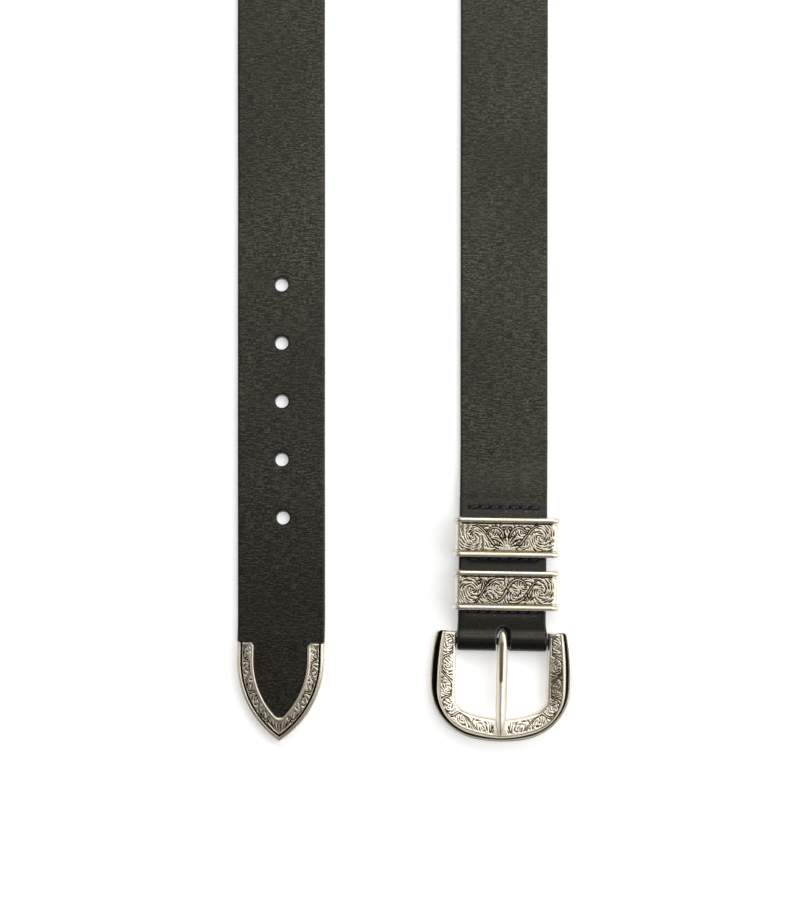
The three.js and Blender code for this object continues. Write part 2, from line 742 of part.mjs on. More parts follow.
const prongShank = [
  { at: 0, underside: 4.9, top: 7.85, halfWidth: prongWidth / 2 },
  { at: 8, underside: 5.6, top: 8.6, halfWidth: prongWidth / 2 },
  { at: 20, underside: 6.6, top: 9.6, halfWidth: prongWidth / 2 },
  { at: 33, underside: 7.5, top: 10.3, halfWidth: 2.25 },
  { at: 37, underside: 7.8, top: 10.3, halfWidth: 1.75 },
  { at: 39.5, underside: 7.9, top: 9.8, halfWidth: 0.95 },
  { at: 40.6, underside: 7.95, top: 8.9, halfWidth: 0.4 },
];

function makeProng() {
  const rings = prongShank.map(({ at, underside, top, halfWidth }) => {
    const shoulder = underside + (top - underside) * 0.6;
    const point = (x, z) => new THREE.Vector3(x, -at, z);
    return [
      point(-halfWidth * 0.7, underside),
      point(-halfWidth, underside + (shoulder - underside) * 0.35),
      point(-halfWidth, shoulder),
      point(-halfWidth * 0.35, top),
      point(halfWidth * 0.35, top),
      point(halfWidth, shoulder),
      point(halfWidth, underside + (shoulder - underside) * 0.35),
      point(halfWidth * 0.7, underside),
    ];
  });
  const shank = loft(rings);
  const eye = rodAcross(prongEyeRadius, prongWidth, barHeight);
  const bore = rodAcross(barRadius + clearance, prongWidth * 2, barHeight);
  return toMesh('prong', eye.add(shank).subtract(bore), silver);
}

// Assembly

const belt = new THREE.Group();
belt.name = 'drover_belt';
belt.add(makeStrap());

const tip = makeTip();
tip.applyMatrix4(tipPlace);
belt.add(tip);

const buckleEnd = new THREE.Group();
buckleEnd.applyMatrix4(buckleEndPlace);
for (const { name, fromBar, aside } of keepers) {
  const keeper = makeKeeper(name);
  keeper.position.set(aside, fromBar, 0);
  buckleEnd.add(keeper);
}

// The buckle frame and its prong turn together in the fold.
const onBar = new THREE.Group();
onBar.position.set(buckle.aside, 0, 0);
onBar.rotation.z = -buckle.lean;
onBar.add(makeBuckleFrame());
onBar.add(makeProng());
buckleEnd.add(onBar);
belt.add(buckleEnd);

// The origin is on the ground in the middle of the belt's box.
const box = new THREE.Box3().setFromObject(belt, true);
const middle = box.getCenter(new THREE.Vector3());
belt.position.set(-middle.x, -middle.y, -box.min.z);

export default belt;
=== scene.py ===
import json
from math import acos, asin, atan2, ceil, cos, degrees, exp, hypot, pi, radians, sin, sqrt

import bpy
import numpy as np
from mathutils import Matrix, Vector, noise


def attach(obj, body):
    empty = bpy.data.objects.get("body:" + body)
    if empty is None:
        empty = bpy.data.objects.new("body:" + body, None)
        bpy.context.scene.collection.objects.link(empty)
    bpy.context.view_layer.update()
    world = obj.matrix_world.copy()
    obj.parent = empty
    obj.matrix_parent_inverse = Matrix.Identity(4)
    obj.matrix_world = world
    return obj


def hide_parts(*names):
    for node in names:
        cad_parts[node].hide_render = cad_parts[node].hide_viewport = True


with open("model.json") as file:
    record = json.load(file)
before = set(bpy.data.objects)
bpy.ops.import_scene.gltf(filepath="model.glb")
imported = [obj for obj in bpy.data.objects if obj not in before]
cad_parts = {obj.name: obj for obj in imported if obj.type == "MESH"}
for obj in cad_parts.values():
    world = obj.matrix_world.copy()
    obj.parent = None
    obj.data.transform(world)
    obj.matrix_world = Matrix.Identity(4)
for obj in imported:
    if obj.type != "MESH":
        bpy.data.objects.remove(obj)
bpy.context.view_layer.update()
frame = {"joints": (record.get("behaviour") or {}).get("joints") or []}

# A leather belt laid out as a hairpin. Sizes are in millimetres and brought to metres
# when a mesh is written.
mm = 0.001

# Where the belt lies

layout = {
    "strandSpacing": 97.1,    # between the centre lines of the two ends
    "barFromTipLine": 43.7,
    "seamFromBar": 84,        # above this the buckle's strand is flat on the ground
    "buckleEndLean": 0.9,     # degrees, clockwise seen from above
    "buckleLean": 0.5,        # more of it for the buckle and prong
    "buckleAside": 0.35,
    "tipLean": 1.0,
    "tipAside": -0.2,
    "barHeight": 4.15,
}

swing = next(joint for joint in frame["joints"] if joint["name"] == "buckle_swing")
barSpot = np.array(swing["pos_m"][:2]) / mm
buckleEndLean = radians(layout["buckleEndLean"])
buckleLean = buckleEndLean + radians(layout["buckleLean"])
tipLean = radians(layout["tipLean"])


# Points turned clockwise about the origin and then moved
def laidAt(points, origin, lean):
    x = points[..., 0] * cos(lean) + points[..., 1] * sin(lean)
    y = -points[..., 0] * sin(lean) + points[..., 1] * cos(lean)
    return np.stack([x + origin[0], y + origin[1], points[..., 2]], axis=-1)


def spotAt(x, y, origin, lean):
    return laidAt(np.array([x, y, 0.0]), origin, lean)[:2]


endOrigin = spotAt(-layout["buckleAside"], 0, barSpot, buckleEndLean)
seamSpot = spotAt(0, layout["seamFromBar"], endOrigin, buckleEndLean)
loopRadius = layout["strandSpacing"] / 2
tipLineY = seamSpot[1] - layout["barFromTipLine"] - layout["seamFromBar"]
middleX = seamSpot[0] - loopRadius
print("belt placed: bar at", barSpot.round(2), "middle", round(middleX, 2), "tip line", round(tipLineY, 2))


# Small helpers

def smoothStep(share):
    share = np.clip(share, 0.0, 1.0)
    return share * share * (3 - 2 * share)


# A column's value at a distance, with a soft step from row to row
def alongTable(rows, distance, column):
    at = np.array([row["at"] for row in rows], float)
    values = np.array([row[column] for row in rows], float)
    distance = np.clip(distance, at[0], at[-1])
    i = np.clip(np.searchsorted(at, distance, side="right") - 1, 0, len(at) - 2)
    return values[i] + (values[i + 1] - values[i]) * smoothStep((distance - at[i]) / (at[i + 1] - at[i]))


def tableOf(columns, rows):
    return [dict(zip(columns, row)) for row in rows]


# A column's value with straight stretches from row to row
def alongRows(rows, distance, column):
    return float(np.interp(distance, [row["at"] for row in rows], [row[column] for row in rows]))


# The points of a line at some distances, from the distances of those that make it
def alongLine(at, points, distances):
    return np.stack([np.interp(distances, at, column) for column in points.T], axis=-1)


# How far a surface falls, at a distance inside an edge that is rounded to a radius
def edgeDrop(inside, radius):
    short = np.clip(radius - np.asarray(inside, float), 0, radius)
    return radius - np.sqrt(radius**2 - short**2)


# Places from one end to the other, each span cut into equal steps
def stepped(start, spans):
    places = [start]
    for end, step in spans:
        count = max(1, ceil((end - places[-1]) / step - 1e-6))
        places += list(places[-1] + (end - places[-1]) * np.arange(1, count + 1) / count)
    return np.array(places)


def onlySelect(piece):
    bpy.ops.object.select_all(action="DESELECT")
    piece.select_set(True)
    bpy.context.view_layer.objects.active = piece


def faceOutwards(piece, fillEnds=False):
    onlySelect(piece)
    bpy.ops.object.mode_set(mode="EDIT")
    bpy.ops.mesh.select_all(action="SELECT")
    if fillEnds:
        bpy.ops.mesh.remove_doubles(threshold=1e-6)
        bpy.ops.mesh.fill_holes(sides=0)
        bpy.ops.mesh.select_all(action="SELECT")
    bpy.ops.mesh.normals_make_consistent(inside=False)
    bpy.ops.object.mode_set(mode="OBJECT")


def readPoints(piece):
    points = np.empty(len(piece.data.vertices) * 3, np.float32)
    piece.data.vertices.foreach_get("co", points)
    return points.reshape(-1, 3).astype(float)


def writePoints(piece, points):
    piece.data.vertices.foreach_set("co", points.astype(np.float32).ravel())
    piece.data.update()


def storeValue(piece, name, values):
    kind = "FLOAT_VECTOR" if values.ndim == 2 else "FLOAT"
    attribute = piece.data.attributes.new(name, kind, "POINT")
    attribute.data.foreach_set("vector" if values.ndim == 2 else "value", values.astype(np.float32).ravel())


def addGrid(name, columns, rows):
    bpy.ops.object.select_all(action="DESELECT")
    bpy.ops.mesh.primitive_grid_add(x_subdivisions=columns, y_subdivisions=rows, size=1)
    piece = bpy.context.object
    piece.name = piece.data.name = name
    flat = readPoints(piece)
    column = np.rint((flat[:, 0] + 0.5) * columns).astype(int)
    row = np.rint((flat[:, 1] + 0.5) * rows).astype(int)
    return piece, column, row


# A grid wrapped into a closed body: places has a row for each section and its last
# column repeats the first
def wrapGrid(name, places, tones, sharpFrom=60):
    rows, columns = places.shape[0] - 1, places.shape[1] - 1
    piece, column, row = addGrid(name, columns, rows)
    writePoints(piece, places[row, column] * mm)
    storeValue(piece, "tone", np.broadcast_to(tones, places.shape[:2])[row, column])
    faceOutwards(piece, fillEnds=True)
    bpy.ops.object.shade_smooth_by_angle(angle=radians(sharpFrom))
    return piece


def joined(pieces, name):
    bpy.ops.object.select_all(action="DESELECT")
    for piece in pieces:
        piece.select_set(True)
    bpy.context.view_layer.objects.active = pieces[0]
    bpy.ops.object.join()
    pieces[0].name = pieces[0].data.name = name
    return pieces[0]


# Adds one part of a casting as a block with rounded edges
def addBlock(name, low, high, rounding, origin, lean):
    bpy.ops.object.select_all(action="DESELECT")
    bpy.ops.mesh.primitive_cube_add(size=1)
    block = bpy.context.object
    block.name = name
    corners = (readPoints(block) + 0.5) * (np.array(high) - low) + low
    writePoints(block, laidAt(corners, origin, lean) * mm)
    bevel = block.modifiers.new("rounded", "BEVEL")
    bevel.width = rounding * mm
    bevel.segments = 3
    bpy.ops.object.modifier_apply(modifier=bevel.name)
    storeValue(block, "tone", np.ones(len(block.data.vertices)))
    bpy.ops.object.shade_smooth_by_angle(angle=radians(35))
    return block


# A closed section from its corners: each row gives the corner, the spacing of the
# points from there to the next one, and the part of the casting that starts there
def sectionOutline(rows, softness, fineStep=0.04):
    corners = np.array([[across, height] for across, height, step, part in rows], float)
    corners = np.vstack([corners, corners[:1]])
    lengths = np.hypot(*np.diff(corners, axis=0).T)
    travelled = np.concatenate([[0], np.cumsum(lengths)])
    count = int(travelled[-1] / fineStep)
    fineAt = np.arange(count + 1) * travelled[-1] / count
    fine = alongLine(travelled, corners, fineAt[:-1])
    most = int(3 * softness / fineStep)
    offsets = range(-most, most + 1)
    weights = [exp(-0.5 * (k * fineStep / softness) ** 2) for k in offsets]
    soft = sum(w * np.roll(fine, -k, axis=0) for k, w in zip(offsets, weights)) / sum(weights)
    soft = np.vstack([soft, soft[:1]])
    picks, parts = [], []
    for i, (across, height, step, part) in enumerate(rows):
        steps = max(1, ceil(lengths[i] / step))
        picks += list(travelled[i] + lengths[i] * np.arange(steps) / steps)
        parts += [part] * steps
    picks.append(travelled[-1])
    parts.append(parts[0])
    return alongLine(fineAt, soft, picks), np.array(parts)


# Dark in the grooves, with a soft edge
def toneOf(parts, dark=("groove",), darkest=0.0):
    tone = np.where(np.isin(parts, dark), darkest, 1.0)
    return (np.roll(tone, 1) + 2 * tone + np.roll(tone, -1)) / 4


# Scrollwork, cut as tapering strokes into a plain face. A field holds how far each of
# its places lies from the nearest cut, less than 0 inside one.

scrollwork = {
    "pitch": 1.02,     # from ring to ring of a whorl
    "firstRing": 0.85,
    "length": 2.6,     # of one stroke
    "between": 0.75,   # at least, from a stroke's end to the next one
    "width": 0.25,     # half of a stroke's widest place
    "stem": 0.46,      # half of a bare stem between its two cuts
    "stemCut": 0.4,    # how wide each of these is
    "deep": 0.2,       # a place this far inside a cut is at the bottom
    "shoulder": 0.36,  # and this far outside it is at the full height
}


def farField(uAt, vAt):
    return np.full((len(uAt), len(vAt)), 3.0)


# The window of a field that a path can reach, and the distance from the path there
def nearPath(field, uAt, vAt, path, widths, reach):
    low, high = path.min(axis=0) - reach, path.max(axis=0) + reach
    rows = slice(np.searchsorted(uAt, low[0]), np.searchsorted(uAt, high[0]))
    columns = slice(np.searchsorted(vAt, low[1]), np.searchsorted(vAt, high[1]))
    u, v = np.meshgrid(uAt[rows], vAt[columns], indexing="ij")
    away = np.full(u.shape, 3.0)
    for (u0, v0), (u1, v1), w0, w1 in zip(path[:-1], path[1:], widths[:-1], widths[1:]):
        du, dv = u1 - u0, v1 - v0
        t = np.clip(((u - u0) * du + (v - v0) * dv) / (du * du + dv * dv + 1e-9), 0, 1)
        away = np.minimum(away, np.hypot(u - u0 - t * du, v - v0 - t * dv) - w0 - (w1 - w0) * t)
    return field[rows, columns], away


# A stroke like a comma: a blunt head and a long tail
def drawCut(field, uAt, vAt, path, width, blunt=0.7):
    share = np.linspace(0, 1, len(path))
    widths = width * np.sin(pi * (0.05 + 0.92 * share**blunt))
    patch, away = nearPath(field, uAt, vAt, path, widths, width + 0.5)
    np.minimum(patch, away, out=patch)


def bezier(a, b, c, d, steps=14):
    t = np.linspace(0, 1, steps)[:, None]
    a, b, c, d = (np.array(p, float) for p in (a, b, c, d))
    return a * (1 - t) ** 3 + 3 * b * t * (1 - t) ** 2 + 3 * c * t * t * (1 - t) + d * t**3


# Rings of strokes that turn about a small hollow
def drawWhorl(field, uAt, vAt, whorl, rng, bold):
    (centreU, centreV), hand = whorl["centre"], whorl["hand"]
    length = scrollwork["length"]
    pitch = scrollwork["pitch"] * whorl.get("pitch", 1)
    radius = scrollwork["firstRing"]
    while radius < whorl["reach"]:
        count = max(3, round(2 * pi * radius / (length + scrollwork["between"])))
        sweep = min(length / radius, 2 * pi / count * 0.84)
        turned = rng.uniform(0, 2 * pi)
        for i in range(count):
            share = np.linspace(0, 1, 9)
            turn = turned + 2 * pi * (i + rng.uniform(-0.08, 0.08)) / count + hand * sweep * share
            out = radius + pitch * (0.62 * share**1.3 - 0.3)
            path = np.stack([centreU + out * np.cos(turn), centreV + out * np.sin(turn)], axis=-1)
            drawCut(field, uAt, vAt, path, scrollwork["width"] * bold * rng.uniform(0.5, 1.2))
        radius += pitch
    drawCut(field, uAt, vAt, np.array([(centreU, centreV), (centreU + 0.1, centreV)]), 0.3)


# Whorls that fill a face between them, each as far as half way to its neighbours
def drawWhorls(field, uAt, vAt, whorls, seed, bold):
    rng = np.random.default_rng(seed)
    u, v = np.meshgrid(uAt, vAt, indexing="ij")
    shares = np.array([
        np.hypot(u - whorl["centre"][0], v - whorl["centre"][1]) - whorl["weight"]
        for whorl in whorls
    ])
    ranked = np.sort(shares, axis=0)
    spare = ranked[1] - ranked[0]
    for whorl, share in zip(whorls, shares):
        own = farField(uAt, vAt)
        drawWhorl(own, uAt, vAt, whorl, rng, bold)
        own = np.maximum(own, 0.16 - spare / 2)
        mine = share <= ranked[0]
        field[mine] = np.minimum(field, own)[mine]


# A bare stem with a cut along each side, over whatever lies there
def drawStem(field, uAt, vAt, path, width=scrollwork["stem"], taper=0.6):
    share = np.linspace(0, 1, len(path))
    widths = width * (1 - taper * share)
    patch, away = nearPath(field, uAt, vAt, path, widths, width + 1.0)
    half = scrollwork["stemCut"] / 2
    np.maximum(patch, -away, out=patch)
    patch[:] = np.where(away < 2 * half, np.minimum(patch, np.abs(away - half) - half), patch)


# A fan of petals with a cut between each two
def drawFan(field, uAt, vAt, base, facing, spread, reach, count, clear):
    u, v = np.meshgrid(uAt, vAt, indexing="ij")
    np.maximum(field, clear - np.hypot(u - base[0], v - base[1]), out=field)
    for i in range(count + 1):
        side = 2 * i / count - 1
        length = reach * (1 - 0.28 * abs(side) ** 1.5)
        turn = facing + side * spread / 2
        along = [(0.22, turn), (0.6, turn), (1, turn + 0.175 * side)]
        start, middle, end = (
            (base[0] + share * length * cos(angle), base[1] + share * length * sin(angle))
            for share, angle in along
        )
        drawCut(field, uAt, vAt, bezier(end, middle, middle, start, 10), scrollwork["width"] * 1.1)


# A band of whorls that turn by turns one way and the other, with a stem that winds
# between them
def drawBand(field, uAt, vAt, start, end, low, high, pitch, seed, bold, ringPitch):
    count = max(1, round((end - start) / pitch))
    pitch = (end - start) / count
    width = high - low
    middle = (low + high) / 2
    reach = 0.62 * pitch + 0.4
    whorls = []
    for i in range(count):
        side = 1 if i % 2 else -1
        centre = (start + pitch * (i + 0.5), middle + 0.1 * side * width)
        whorls.append({"centre": centre, "hand": side, "reach": reach, "weight": 0, "pitch": ringPitch})
    drawWhorls(field, uAt, vAt, whorls, seed, bold)
    for i in range(-1, count):
        side = 1 if i % 2 else -1
        left = start + pitch * (i + 0.5)
        goal = left + pitch
        path = bezier(
            (left + 0.1 * pitch, middle + side * width * 0.52),
            (left + 0.55 * pitch, middle + side * width * 0.60),
            (left + 0.42 * pitch, middle - side * width * 0.56),
            (goal - 0.05 * pitch, middle - side * width * 0.46),
            24,
        )
        drawStem(field, uAt, vAt, path, 0.34, 0.75)


# Takes the steps of the grid out of a field
def softened(field):
    padded = np.pad(field, 1, mode="edge")
    rows = (padded[:-2] + 2 * padded[1:-1] + padded[2:]) / 4
    return (rows[:, :-2] + 2 * rows[:, 1:-1] + rows[:, 2:]) / 4


def reliefOf(field):
    return smoothStep((field + scrollwork["deep"]) / (scrollwork["deep"] + scrollwork["shoulder"]))


def toneOfCuts(field):
    return smoothStep((field + 0.10) / 0.26)


# Strap

strapSizes = {
    "width": 38,
    "thickness": 3,
    "foldThickness": 2.2,
    "turnBackEnd": 1.6,       # thickness at the end of the layer that is turned back
    "turnBackLength": 62.4,
    "toMiddleHole": 864,      # from the fold, a 34 inch belt
    "middleHoleToTip": 148.3,
    "holePitch": 25.4,
    "holeRadius": 2.95,
    "holeTaper": 0.2,         # narrower on the flesh side
    "holeSlant": 0.3,         # and that much nearer the tip there
    "holeAsides": (0.7, 0.2, 0.2, 0.1, 0.1),
    "slotRadius": 3.1,
    "slotAside": -0.7,
    "slotEnd": 6.9,           # beyond the bar's axis
    "slotEndBelow": 5.6,      # in the layer that is turned back
    "slotSlantBelow": 1.25,   # and that much shorter on its grain side
    "slotPinchBelow": 0.9,    # and each side closer in there
    "slotPinchFront": 0.65,   # of which this much from the fold's front on
    "slotTaperBelow": 0.4,    # more so on its grain side
    "slotShiftBelow": -0.4,   # and the slot this much less aside there
    "slotSoft": 4.4,          # from the slot's middle to where the leather is no longer drawn in
    "foldInner": 1.95,
    "foldSpread": 0.6,        # on the right in the picture
    "foldSpreadLeft": 0.2,
    "twist": 114,
    "straightOnEdge": 4,
    "edgeRounding": 0.9,
    "holeRounding": 0.62,
    "slotRounding": 0.35,
    "stitchDip": 0.27,
    "holeDip": 0.12,
    "waviness": 0.1,          # of the grain side
    "sway": 0.12,             # from side to side
}
stitchRows = {"lower": 13.1, "middle": 36.1, "upper": 58.3}
gap = 0.3    # between pieces that rest on each other
keeperBarThickness = 1.0

overTurnBack = strapSizes["foldThickness"] + gap
overKeeperBar = overTurnBack + gap + keeperBarThickness
upperLayer = tableOf(("at", "underside", "thickness"), [
    (1.6, layout["barHeight"] + strapSizes["foldInner"], 2.2),
    (5.2, 4.1, 2.7),
    (stitchRows["lower"], 3.7, 3),
    (17, overKeeperBar, 3),
    (26.6, overKeeperBar, 3),
    (stitchRows["middle"], overTurnBack, 3),
    (40, overKeeperBar, 3),
    (49.7, overKeeperBar, 3),
    (stitchRows["upper"], overTurnBack, 3),
    (strapSizes["turnBackLength"], 1.9, 3),
    (80, 0, 3),
    (layout["seamFromBar"], 0, 3),
])

tipSizes = {
    "halfWidth": 19.2,
    "arcRadius": 42.5,
    "length": 43,
    "wall": 0.9,
    "leatherInset": 1.2,
    "leatherThickness": 2.0,
}
tipArcStart = sqrt(2 * tipSizes["arcRadius"] * tipSizes["halfWidth"] - tipSizes["halfWidth"] ** 2)
tipArcOffset = tipSizes["arcRadius"] - tipSizes["halfWidth"]
tipOrigin = np.array([
    middleX - loopRadius + layout["tipAside"] - tipSizes["length"] * sin(tipLean),
    tipLineY + tipSizes["length"] * (1 - cos(tipLean)),
])


def tipHalfWidthAt(y, inset):
    reach = (tipSizes["arcRadius"] - inset) ** 2 - np.clip(tipArcStart - y, 0, None) ** 2
    return np.sqrt(np.clip(reach, 0, None)) - tipArcOffset


# The way of the strap, from its pointed end to the end that is turned back: for each
# place the middle of the section, the way across it, the grain side's direction and
# the thickness
def strapWay():
    sizes = strapSizes
    length = sizes["toMiddleHole"] + sizes["middleHoleToTip"]
    foldEndY = layout["barFromTipLine"] - sizes["foldInner"] - sizes["foldThickness"]
    loopY = (length - pi * loopRadius + foldEndY) / 2
    twistEnd = loopY - sizes["straightOnEdge"]
    rows = []

    def add(at, spot, height, heading, tilt, thickness):
        right = np.array([heading[1], -heading[0], 0])
        up = np.array([0, 0, 1.0])
        across = right * cos(tilt) + up * sin(tilt)
        grain = up * cos(tilt) - right * sin(tilt)
        rows.append([at, spot[0], spot[1], height, *across, *grain, thickness])

    def tiltAt(y):
        return pi / 2 * float(smoothStep((y - twistEnd + sizes["twist"]) / sizes["twist"]))

    def restingHeight(tilt):
        return sizes["width"] / 2 * sin(tilt) + sizes["thickness"] / 2 * cos(tilt)

    mouth, lowered = tipSizes["length"], tipSizes["length"] + 14
    tipLayer = [
        {"at": mouth, "underside": tipSizes["leatherInset"], "thickness": tipSizes["leatherThickness"]},
        {"at": lowered, "underside": 0, "thickness": sizes["thickness"]},
    ]
    for y in np.arange(0, 60, 0.5):
        share = float(smoothStep((y - mouth) / (lowered - mouth)))
        leaning = spotAt(0, y, tipOrigin, tipLean)
        straight = np.array([middleX - loopRadius, tipLineY + y])
        lean = tipLean * (1 - share)
        thickness = float(alongTable(tipLayer, y, "thickness"))
        height = float(alongTable(tipLayer, y, "underside")) + thickness / 2
        add(y, leaning * (1 - share) + straight * share, height, (sin(lean), cos(lean)), 0, thickness)
    for y in stepped(60, [(loopY, 2)]):
        tilt = tiltAt(y)
        spot = (middleX - loopRadius, tipLineY + y)
        add(y, spot, restingHeight(tilt), (0, 1), tilt, sizes["thickness"])
    steps = 90
    for i in range(1, steps + 1):
        angle = pi * (1 - i / steps)
        spot = (middleX + loopRadius * cos(angle), tipLineY + loopY + loopRadius * sin(angle))
        at = loopY + pi * loopRadius * i / steps
        add(at, spot, restingHeight(pi / 2), (sin(angle), -cos(angle)), pi / 2, sizes["thickness"])
    topAt = loopY + pi * loopRadius
    seamY = layout["barFromTipLine"] + layout["seamFromBar"]
    for y in stepped(2, [(loopY - seamY - 12, 2)]):
        tilt = tiltAt(loopY - y)
        spot = (middleX + loopRadius, tipLineY + loopY - y)
        add(topAt + y, spot, restingHeight(tilt), (0, -1), tilt, sizes["thickness"])
    barAt = topAt + loopY - layout["barFromTipLine"]
    heading = (-sin(buckleEndLean), -cos(buckleEndLean))
    for fromBar in np.arange(layout["seamFromBar"], -0.01, -0.25):
        thickness = float(alongTable(upperLayer, fromBar, "thickness"))
        height = float(alongTable(upperLayer, fromBar, "underside")) + thickness / 2
        add(barAt - fromBar, spotAt(0, fromBar, endOrigin, buckleEndLean), height, heading, 0, thickness)
    radius = sizes["foldInner"] + sizes["foldThickness"] / 2
    across = (heading[1], -heading[0], 0)
    steps = 48
    for i in range(1, steps + 1):
        angle = pi * i / steps
        spot = spotAt(0, -radius * sin(angle), endOrigin, buckleEndLean)
        height = layout["barHeight"] + radius * cos(angle)
        grain = (heading[0] * sin(angle), heading[1] * sin(angle), cos(angle))
        rows.append([barAt + radius * angle, *spot, height, *across, *grain, sizes["foldThickness"]])
    foldAt = barAt + pi * radius
    pared = stitchRows["upper"] - 6    # from here on the end is pared down further
    for fromBar in stepped(0.5, [(sizes["turnBackLength"], 0.5)]):
        share = (fromBar - pared) / (sizes["turnBackLength"] - pared)
        thickness = sizes["foldThickness"] + (sizes["turnBackEnd"] - sizes["foldThickness"]) * max(0, share)
        spot = spotAt(0, fromBar, endOrigin, buckleEndLean)
        rows.append([foldAt + fromBar, *spot, thickness / 2, *across, 0, 0, -1, thickness])
    return np.array(rows), {"bar": barAt, "fold": barAt + pi * radius / 2, "turned": foldAt, "loop": loopY}


way, wayMarks = strapWay()
wayEnd = way[-1, 0]
print("strap's way:", round(wayEnd, 1), "mm, fold at", round(wayMarks["fold"], 1))

holeSpots = [
    {
        "at": strapSizes["middleHoleToTip"] + (i - 2) * strapSizes["holePitch"],
        "aside": aside,
        "straight": 0.0,
        "radius": strapSizes["holeRadius"],
        "rounding": strapSizes["holeRounding"],
        "halfAcross": 4.5,
    }
    for i, aside in enumerate(strapSizes["holeAsides"])
]
slotHalf = strapSizes["slotEnd"] + wayMarks["fold"] - wayMarks["bar"]
slotShort = strapSizes["slotEnd"] - strapSizes["slotEndBelow"]
slotSpot = {
    "at": wayMarks["fold"] - slotShort / 2,
    "aside": strapSizes["slotAside"],
    "straight": slotHalf - slotShort / 2 - strapSizes["slotRadius"],
    "radius": strapSizes["slotRadius"],
    "rounding": strapSizes["slotRounding"],
    "halfAcross": 6,
}
cutMargin = 1.5    # a cut's own faces lie this far round it, and as far across as halfAcross


# How far a place on the flat strap lies outside a round hole or a slot
def outsideCut(x, at, cut):
    past = np.clip(np.abs(at - cut["at"]) - cut["straight"], 0, None)
    return np.hypot(x - cut["aside"], past) - cut["radius"]


# Rings of faces that close in from the square gap in the grid to the rim of a cut
def closeIn(piece, cut, margins=(0.9, 0.62, 0.45, 0.3, 0.18, 0.09, 0.03, 0)):
    halfAcross = cut["halfAcross"]
    halfAlong = cut["straight"] + cut["radius"] + cutMargin
    centres = np.empty(len(piece.data.polygons) * 3, np.float32)
    piece.data.polygons.foreach_get("center", centres)
    centres = centres.reshape(-1, 3) / mm
    inside = (np.abs(centres[:, 0]) < halfAcross) & (np.abs(centres[:, 1] - cut["at"]) < halfAlong)
    bpy.context.tool_settings.mesh_select_mode = (False, False, True)
    bpy.ops.object.mode_set(mode="EDIT")
    bpy.ops.mesh.select_all(action="DESELECT")
    bpy.ops.object.mode_set(mode="OBJECT")
    piece.data.polygons.foreach_set("select", inside)
    bpy.ops.object.mode_set(mode="EDIT")
    bpy.ops.mesh.delete(type="FACE")
    bpy.context.tool_settings.mesh_select_mode = (True, False, False)
    bpy.ops.object.mode_set(mode="OBJECT")
    flat = readPoints(piece) / mm
    rim = (np.abs(flat[:, 0]) < halfAcross + 0.01) & (np.abs(flat[:, 1] - cut["at"]) < halfAlong + 0.01)
    piece.data.vertices.foreach_set("select", rim)
    for margin in margins:
        bpy.ops.object.mode_set(mode="EDIT")
        bpy.ops.mesh.extrude_edges_move()
        bpy.ops.object.mode_set(mode="OBJECT")
        flat = readPoints(piece) / mm
        chosen = np.empty(len(flat), bool)
        piece.data.vertices.foreach_get("select", chosen)
        x, along = flat[chosen, 0] - cut["aside"], flat[chosen, 1] - cut["at"]
        centre = np.clip(along, -cut["straight"], cut["straight"])
        away = np.hypot(x, along - centre)
        scale = (cut["radius"] + margin) / away
        flat[chosen, 0] = cut["aside"] + x * scale
        flat[chosen, 1] = cut["at"] + centre + (along - centre) * scale
        writePoints(piece, flat * mm)


# The leather as a flat sheet first: x across, y along, the grain side up
def cutStrap():
    half = strapSizes["width"] / 2
    rightColumns = list(np.arange(11) * 1.5) + [16.2, 17.1, 17.8, 18.25, 18.55, 18.8, 18.94, half]
    columns = np.array([-x for x in rightColumns[:0:-1]] + rightColumns)
    spans = [(43.3, 1.3), (43.34, 1), (60, 1.4)]
    for cut in holeSpots:
        around = cut["radius"] + cutMargin
        spans += [(cut["at"] - around, 2.0), (cut["at"] + around, 1.5)]
    slotAround = slotSpot["straight"] + slotSpot["radius"] + cutMargin
    spans += [
        (wayMarks["loop"] * 2, 2.0),
        (wayMarks["bar"] - layout["seamFromBar"], 2.0),
        (slotSpot["at"] - slotAround, 0.75),
        (slotSpot["at"] + slotAround, 0.42),
        (wayEnd - 1, 0.9),
        (wayEnd - 0.3, 0.25),
        (wayEnd, 0.08),
    ]
    leatherArc = tipSizes["arcRadius"] - tipSizes["leatherInset"]
    leatherPoint = tipArcStart - sqrt(leatherArc**2 - tipArcOffset**2)
    rows = stepped(leatherPoint + 0.15, spans)
    piece, column, row = addGrid("leather_strap", len(columns) - 1, len(rows) - 1)
    writePoints(piece, np.stack([columns[column], rows[row], 0 * columns[column]], axis=-1) * mm)
    for cut in holeSpots + [slotSpot]:
        closeIn(piece, cut)
    solidify = piece.modifiers.new("thickness", "SOLIDIFY")
    solidify.thickness = strapSizes["thickness"] * mm
    solidify.offset = -1
    onlySelect(piece)
    bpy.ops.object.modifier_apply(modifier=solidify.name)
    return piece


